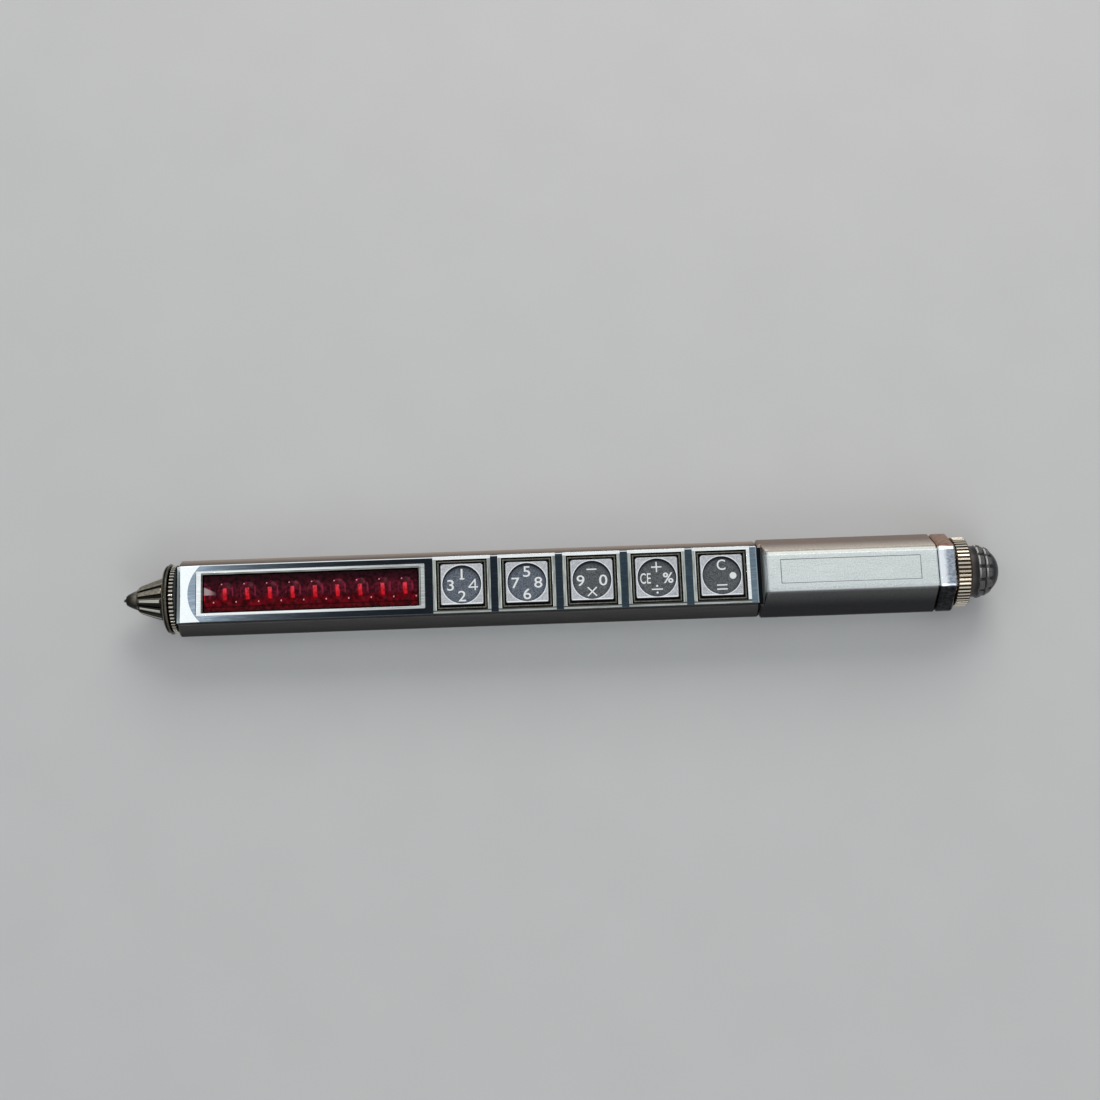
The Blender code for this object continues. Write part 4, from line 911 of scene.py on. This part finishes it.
def threaded(start, end, radius):
    """Points along a stub, with a groove for each turn of its thread."""
    points = []
    step = math.copysign(THREAD_PITCH, end - start)
    for turn in range(int(abs(end - start) / THREAD_PITCH)):
        foot = start + step * turn
        points += [(foot + step * 0.2, radius, 0), (foot + step * 0.5, radius - THREAD_DEPTH, 0),
                   (foot + step * 0.8, radius, 0)]
    return points


def from_axis(shade):
    """How far a point lies from the pen's axis."""
    _, y, z = axes(shade)
    return y.hypot(z - MID_HEIGHT)


ring_path = [
    (RING_FRONT, SLEEVE_RADII[1], 0), (RING_FRONT, RING_ROOT - 0.0001, 0),
    (RING_FRONT + 0.00012, RING_ROOT, 0.3), (RING_FRONT + 0.00035, RING_ROOT, 1),
    (RING_REAR - 0.0004, RING_ROOT, 1), (RING_REAR - 0.00016, RING_ROOT, 0.2),
    (RING_REAR, RING_ROOT - 0.00025, 0), (RING_REAR, AXLE_WAY, 0), (RING_FRONT, AXLE_WAY, 0),
    (RING_FRONT, SLEEVE_RADII[0], 0), (SLEEVE_FRONT, SLEEVE_RADII[0], 0)]
ring_path += threaded(SLEEVE_FRONT, RING_FRONT, SLEEVE_RADII[1])
knurl_plate, shade = finish("knurl_plate", Metallic=1.0)
wear = noise(shade, 4000, detail=3)
# The grooves between the teeth are painted dark: painted shade.
crest = from_axis(shade).rise(RING_ROOT + 0.0001, RING_RADIUS - 0.00003)
crest = crest * wear.rise(0.1, 0.5, 0.75, 1)
feed(shade, Base_Color=crest.blend((0.05, 0.03, 0.018), (0.55, 0.49, 0.405)),
     Roughness=wear * 0.2 + 0.14)
ring_mesh = ringed_mesh(ring_path, TEETH, TOOTH, TOOTH_HEIGHT, knurl_plate, 30)
piece("end_ring", ring_mesh, knurl_plate, "end_cap")


# Switch dome. Dark moulded plastic on an axle through the end ring, with two rows of raised
# pads for the fingers that turn it.
AXLE_FRONT, DOME_END = ends("switch_dome")
AXLE_RADIUS = 0.0016
DOME_LENGTH = 0.0059
DOME_FRONT = DOME_END - DOME_LENGTH
DOME_BASE = 0.0047
DOME_NECK = 0.0003
DOME_POWER = 2.3
DOME_STEPS = 70
PAD_ROWS = ((0.247, 0.45), (0.485, 0.715))      # shares of the dome's length
PAD_COUNT = 12
PAD_HEIGHT = 0.00028
PAD_SLOPE = 0.0002
PAD = ((0, 0), (0.1, 0), (0.13, 0.45), (0.19, 0.86), (0.3, 1), (0.5, 1.04), (0.7, 1),
       (0.81, 0.86), (0.87, 0.45), (0.9, 0), (1, 0))


def dome_radius(x):
    """The dome's smooth outline: a short neck, then a full round end."""
    share = max(0.0, (x - DOME_FRONT - DOME_NECK) / (DOME_LENGTH - DOME_NECK))
    return DOME_BASE * max(0.0, 1 - share ** DOME_POWER) ** (1 / DOME_POWER)


def pad_share(x):
    """How much of a pad's height the dome has at this place along the pen."""
    share = (x - DOME_FRONT) / DOME_LENGTH
    inside = max(min(far - share, share - near) for near, far in PAD_ROWS) * DOME_LENGTH
    return min(1.0, max(0.0, inside / PAD_SLOPE)) ** 0.5


stations = [DOME_FRONT + DOME_LENGTH * (1 - (1 - step / DOME_STEPS) ** 1.5)
            for step in range(DOME_STEPS)]
dome_path = [(AXLE_FRONT, 0, 0), (AXLE_FRONT, AXLE_RADIUS, 0), (DOME_FRONT, AXLE_RADIUS, 0),
             (DOME_FRONT, DOME_BASE - 0.00015, 0)]
dome_path += [(max(x, DOME_FRONT + 0.00012), dome_radius(x), pad_share(x)) for x in stations]
dome_path += [(DOME_END - 0.000002, 0.0001, 0), (DOME_END - 0.000002, 0, 0)]
dome_plastic, shade = finish("dome_plastic", Specular_IOR_Level=0.2)
x, y, _ = axes(shade)
radius = from_axis(shade)
grain = noise(shade, 6000, detail=3)
neck = x.fall(DOME_FRONT + 0.0002, DOME_FRONT + 0.0012)
tone = grain.blend((0.006, 0.006, 0.007), (0.016, 0.016, 0.017))
tone = neck.blend(tone, (0.075, 0.065, 0.056))
# Painted reflections on the pads' tops, and painted highlights on the upper side of their front
# edges.
pad_top = grain.rise(0.3, 0.6).blend((0.05, 0.05, 0.048), (0.12, 0.12, 0.115))
for near, far in PAD_ROWS:
    start, end = DOME_FRONT + near * DOME_LENGTH, DOME_FRONT + far * DOME_LENGTH
    middle_radius, front_radius = dome_radius((start + end) / 2), dome_radius(start + 0.0001)
    top = x.between(start, end, 0.00004) * radius.rise(middle_radius, middle_radius + 0.0001)
    speckle_and_highlight = x.between(start + 0.00002, start + 0.0003, 0.00005) * grain.rise(0.2, 0.5)
    speckle_and_highlight = speckle_and_highlight * y.rise(-0.003, 0.0) * radius.rise(front_radius + 0.00004, front_radius + 0.00014)
    tone = layered(tone, (top, pad_top), (speckle_and_highlight * 0.8, (0.74, 0.73, 0.7)))
feed(shade, Base_Color=tone, Roughness=grain * 0.2 + 0.2,
     Normal=grain.bump(0.15, 0.00001))
dome_mesh = ringed_mesh(dome_path, PAD_COUNT, PAD, PAD_HEIGHT, dome_plastic)
piece("switch_dome", dome_mesh, dome_plastic, "switch")


# Nose. A dark plated cone with twelve ribs along it, a thin disc with two beads and a narrow
# knurled ring, all turned with the threaded stub that screws into the body to hold the refill.
CONE_FRONT, STUB_REAR = ends("nose_cone")
CONE_LENGTH = 0.0073
CONE_REAR = CONE_FRONT + CONE_LENGTH
CONE_SMOOTH = 0.0021        # length of the plain front part, before the ribs
CONE_STEPS = 40
CONE_TIP = 0.00085
CONE_GROWTH = 0.00285       # from the radius of its tip to that of its foot
CONE_FLARE = math.log(0.5) / math.log(0.42)     # half the growth at 0.42 of its length
STUB_FRONT = STUB_REAR - 0.003
STUB_RADIUS = 0.0029
RIB_COUNT = 12
RIB_HEIGHT = 0.00038
RIB = ((0, 0), (0.12, 0), (0.15, 0.25), (0.2, 0.8), (0.28, 1), (0.4, 1.05), (0.6, 1.05),
       (0.72, 1), (0.8, 0.8), (0.85, 0.25), (0.88, 0), (1, 0))


def cone_radius(x):
    """The cone's outline between the ribs."""
    share = min(1.0, max(0.0, (x - CONE_FRONT) / CONE_LENGTH))
    return CONE_TIP + CONE_GROWTH * share ** CONE_FLARE


def rib_share(x):
    """How much of a rib's height the cone has at this place along the pen."""
    inside = min(x - CONE_FRONT - CONE_SMOOTH, CONE_REAR - 0.00012 - x)
    return min(1.0, max(0.0, inside / 0.0005)) ** 0.6


stations = [CONE_FRONT + CONE_LENGTH * step / CONE_STEPS for step in range(CONE_STEPS + 1)]
cone_path = [(x, cone_radius(x), rib_share(x)) for x in stations]
cone_path += [(STUB_FRONT - 0.0001, STUB_RADIUS, 0)]
cone_path += threaded(STUB_FRONT, STUB_REAR, STUB_RADIUS)
cone_path += [(STUB_REAR, STUB_RADIUS - 0.0001, 0), (STUB_REAR, 0.0016, 0),
              (CONE_FRONT + 0.003, 0.0014, 0), (CONE_FRONT, 0.00058, 0)]
gunmetal, shade = finish("gunmetal", Metallic=1.0)
x, y, _ = axes(shade)
grain = noise(shade, 7000)
lines = noise(shade, 600, 5000, 5000)
share = shade.node("ShaderNodeClamp", inputs={0: (x - CONE_FRONT) / CONE_LENGTH})
proud = from_axis(shade) - (shade.maths("POWER", share, CONE_FLARE) * CONE_GROWTH + CONE_TIP)
# Below the axis the cone is painted dark, painted shade, with painted highlights along the ribs'
# crests; between the ribs it is painted dark too, painted shade.
crest = proud.rise(0.00012, 0.00034)
ridge = proud.rise(0.000388, 0.000398)
on_cone = x.fall(CONE_REAR - 0.0001, CONE_REAR)
ribbed = x.rise(CONE_FRONT + CONE_SMOOTH - 0.0002, CONE_FRONT + CONE_SMOOTH + 0.0003) * on_cone
shaded = y.fall(-0.0014, 0.0006) * on_cone
plating = (grain * 0.4 + lines * 0.6).rise(0.32, 0.68)
tone = layered(
    plating.blend((0.14, 0.125, 0.1), (0.32, 0.29, 0.225)),
    (shaded * (1 - ridge), (0.025, 0.024, 0.023)),
    (shaded * ridge, (0.6, 0.58, 0.52)),
    (ribbed * (1 - crest), (0.012, 0.011, 0.009)),
    (x.rise(CONE_FRONT + 0.0004, CONE_FRONT + 0.0026, 0.96, 0), (0.012, 0.011, 0.01)),
    (x.rise(CONE_REAR, CONE_REAR + 0.0001) * 0.6, (0.02, 0.018, 0.015)))
feed(shade, Base_Color=tone, Roughness=grain * 0.12 + 0.2)
cone_mesh = ringed_mesh(cone_path, RIB_COUNT, RIB, RIB_HEIGHT, gunmetal)
piece("nose_cone", cone_mesh, gunmetal, "nose")

ROUND = tuple((step / 4, 0) for step in range(5))       # a slice with nothing raised on it
RIM_SLICES = 24
RIM_BORE = 0.00295
RIM_OUTLINE = (         # the front face and both beads: how far behind the front, and the radius
    (0, RIM_BORE), (0, 0.00585), (0.0001, 0.00605), (0.00018, 0.00613), (0.00028, 0.00615),
    (0.00036, 0.00608), (0.00044, 0.0059), (0.00052, 0.0059), (0.0006, 0.00622),
    (0.0007, 0.00641), (0.0008, 0.00645))
rim_front, rim_rear = ends("nose_rim")
rim_path = [(rim_front + behind, radius, 0) for behind, radius in RIM_OUTLINE]
rim_path += [(rim_rear - 0.0001, 0.00641, 0), (rim_rear - 0.00003, 0.0063, 0),
             (rim_rear, 0.0061, 0), (rim_rear, RIM_BORE, 0)]
rim_mesh = ringed_mesh(rim_path, RIM_SLICES, ROUND, 0, gunmetal)
piece("nose_rim", rim_mesh, gunmetal, "nose")

GRIP_RADIUS = 0.0062
GRIP_ROOT = GRIP_RADIUS - TOOTH_HEIGHT
grip_front, grip_rear = ends("nose_ring")
grip_path = [
    (grip_front, RIM_BORE, 0), (grip_front, GRIP_ROOT - 0.0001, 0),
    (grip_front + 0.00006, GRIP_ROOT, 0.4), (grip_front + 0.0002, GRIP_ROOT, 1),
    (grip_rear - 0.0002, GRIP_ROOT, 1), (grip_rear - 0.00006, GRIP_ROOT, 0.4),
    (grip_rear, GRIP_ROOT - 0.0001, 0), (grip_rear, RIM_BORE, 0)]
nose_knurl, shade = finish("nose_knurl", Metallic=1.0)
grain = noise(shade, 4500, detail=3)
# The grooves between the teeth are painted dark: painted shade.
crest = from_axis(shade).rise(GRIP_ROOT + 0.0001, GRIP_RADIUS - 0.00003)
crest = crest * grain.rise(0.2, 0.6, 0.5, 1)
feed(shade, Base_Color=crest.blend((0.012, 0.01, 0.009), (0.5, 0.46, 0.38)),
     Roughness=grain * 0.2 + 0.12)
grip_mesh = ringed_mesh(grip_path, TEETH, TOOTH, TOOTH_HEIGHT, nose_knurl, 30)
piece("nose_ring", grip_mesh, nose_knurl, "nose")


# Writing point and refill. A turned metal point with its ball, pressed into a plastic ink tube,
# with a spring that pushes it back and a guide that keeps it in line.
POINT_OUTLINE = (       # how far behind the ball's front, and the radius
    (0, 0), (0.00003, 0.00012), (0.00009, 0.0002), (0.00016, 0.00024), (0.00022, 0.00028),
    (0.001, 0.00042), (0.003, 0.00042), (0.0034, 0.0006), (0.0065, 0.00112))
POINT_SLICES = 6
BALL_LENGTH = 0.00016
tip, point_rear = ends("writing_point")
point_path = [(tip + behind, radius, 0) for behind, radius in POINT_OUTLINE]
point_path += [(point_rear, point_path[-1][1], 0), (point_rear, 0, 0)]
point_metal, shade = finish("point_metal", Metallic=1.0)
x, _, _ = axes(shade)
taper = x.rise(tip + BALL_LENGTH, tip + BALL_LENGTH + 0.00004)
feed(shade, Base_Color=taper.blend((0.3, 0.3, 0.31), (0.05, 0.046, 0.04)),
     Roughness=noise(shade, 12000, 2500, 2500) * 0.2 + 0.2)
point_mesh = ringed_mesh(point_path, POINT_SLICES, ROUND, 0, point_metal)
piece("writing_point", point_mesh, point_metal, "refill")


# Inner parts. The boards, chip, contacts, springs and cells sit in the body and show only when
# the pen is opened, so their own shapes are kept and only their surfaces are finished.
def inner(names, name, light, dark, scales, rough, metal=0.0):
    """Finishes the CAD nodes of these names with one finely mottled material."""
    made, shade = finish(name, Metallic=metal)
    grain = noise(shade, *scales, detail=3)
    feed(shade, Base_Color=grain.rise(0.35, 0.65).blend(dark, light), Roughness=grain * 0.2 + rough,
         Normal=grain.bump(0.15, 0.00001))
    for node in names:
        nodes[node].data.materials.clear()
        nodes[node].data.materials.append(made)


cells = [f"button_cell_{number}" for number in range(1, 5)]
inner(cells + ["refill_spring", "cell_spring"], "nickel", (0.62, 0.62, 0.6),
      (0.48, 0.48, 0.47), (3000,), 0.22, 1.0)
inner(["refill_guide", "front_contact", "power_lead", "spring_cup", "switch_wiper"], "brass",
      (0.66, 0.48, 0.2), (0.5, 0.34, 0.12), (2500,), 0.25, 1.0)
inner(["display_board", "key_board"], "board", (0.012, 0.05, 0.022), (0.007, 0.035, 0.015),
      (900, 2500, 900), 0.4)
# The contact sheet shows round the caps and is painted near black: painted shade there.
inner(["contact_sheet"], "painted_shade_sheet", (0.02, 0.02, 0.021), (0.01, 0.01, 0.011), (3000,),
      0.5, 0.6)
inner(["led_strip"], "die_strip", (0.75, 0.1, 0.08), (0.5, 0.05, 0.05), (2500,), 0.5)
inner(["calculator_chip"], "chip_case", (0.03, 0.03, 0.032), (0.015, 0.015, 0.017),
      (6000,), 0.5)
inner(["insulator_disc"], "insulator", (0.05, 0.045, 0.04), (0.03, 0.027, 0.025),
      (4000,), 0.45)
inner(["refill_tube"], "ink_tube", (0.03, 0.04, 0.16), (0.015, 0.02, 0.1),
      (600, 3000, 3000), 0.35)
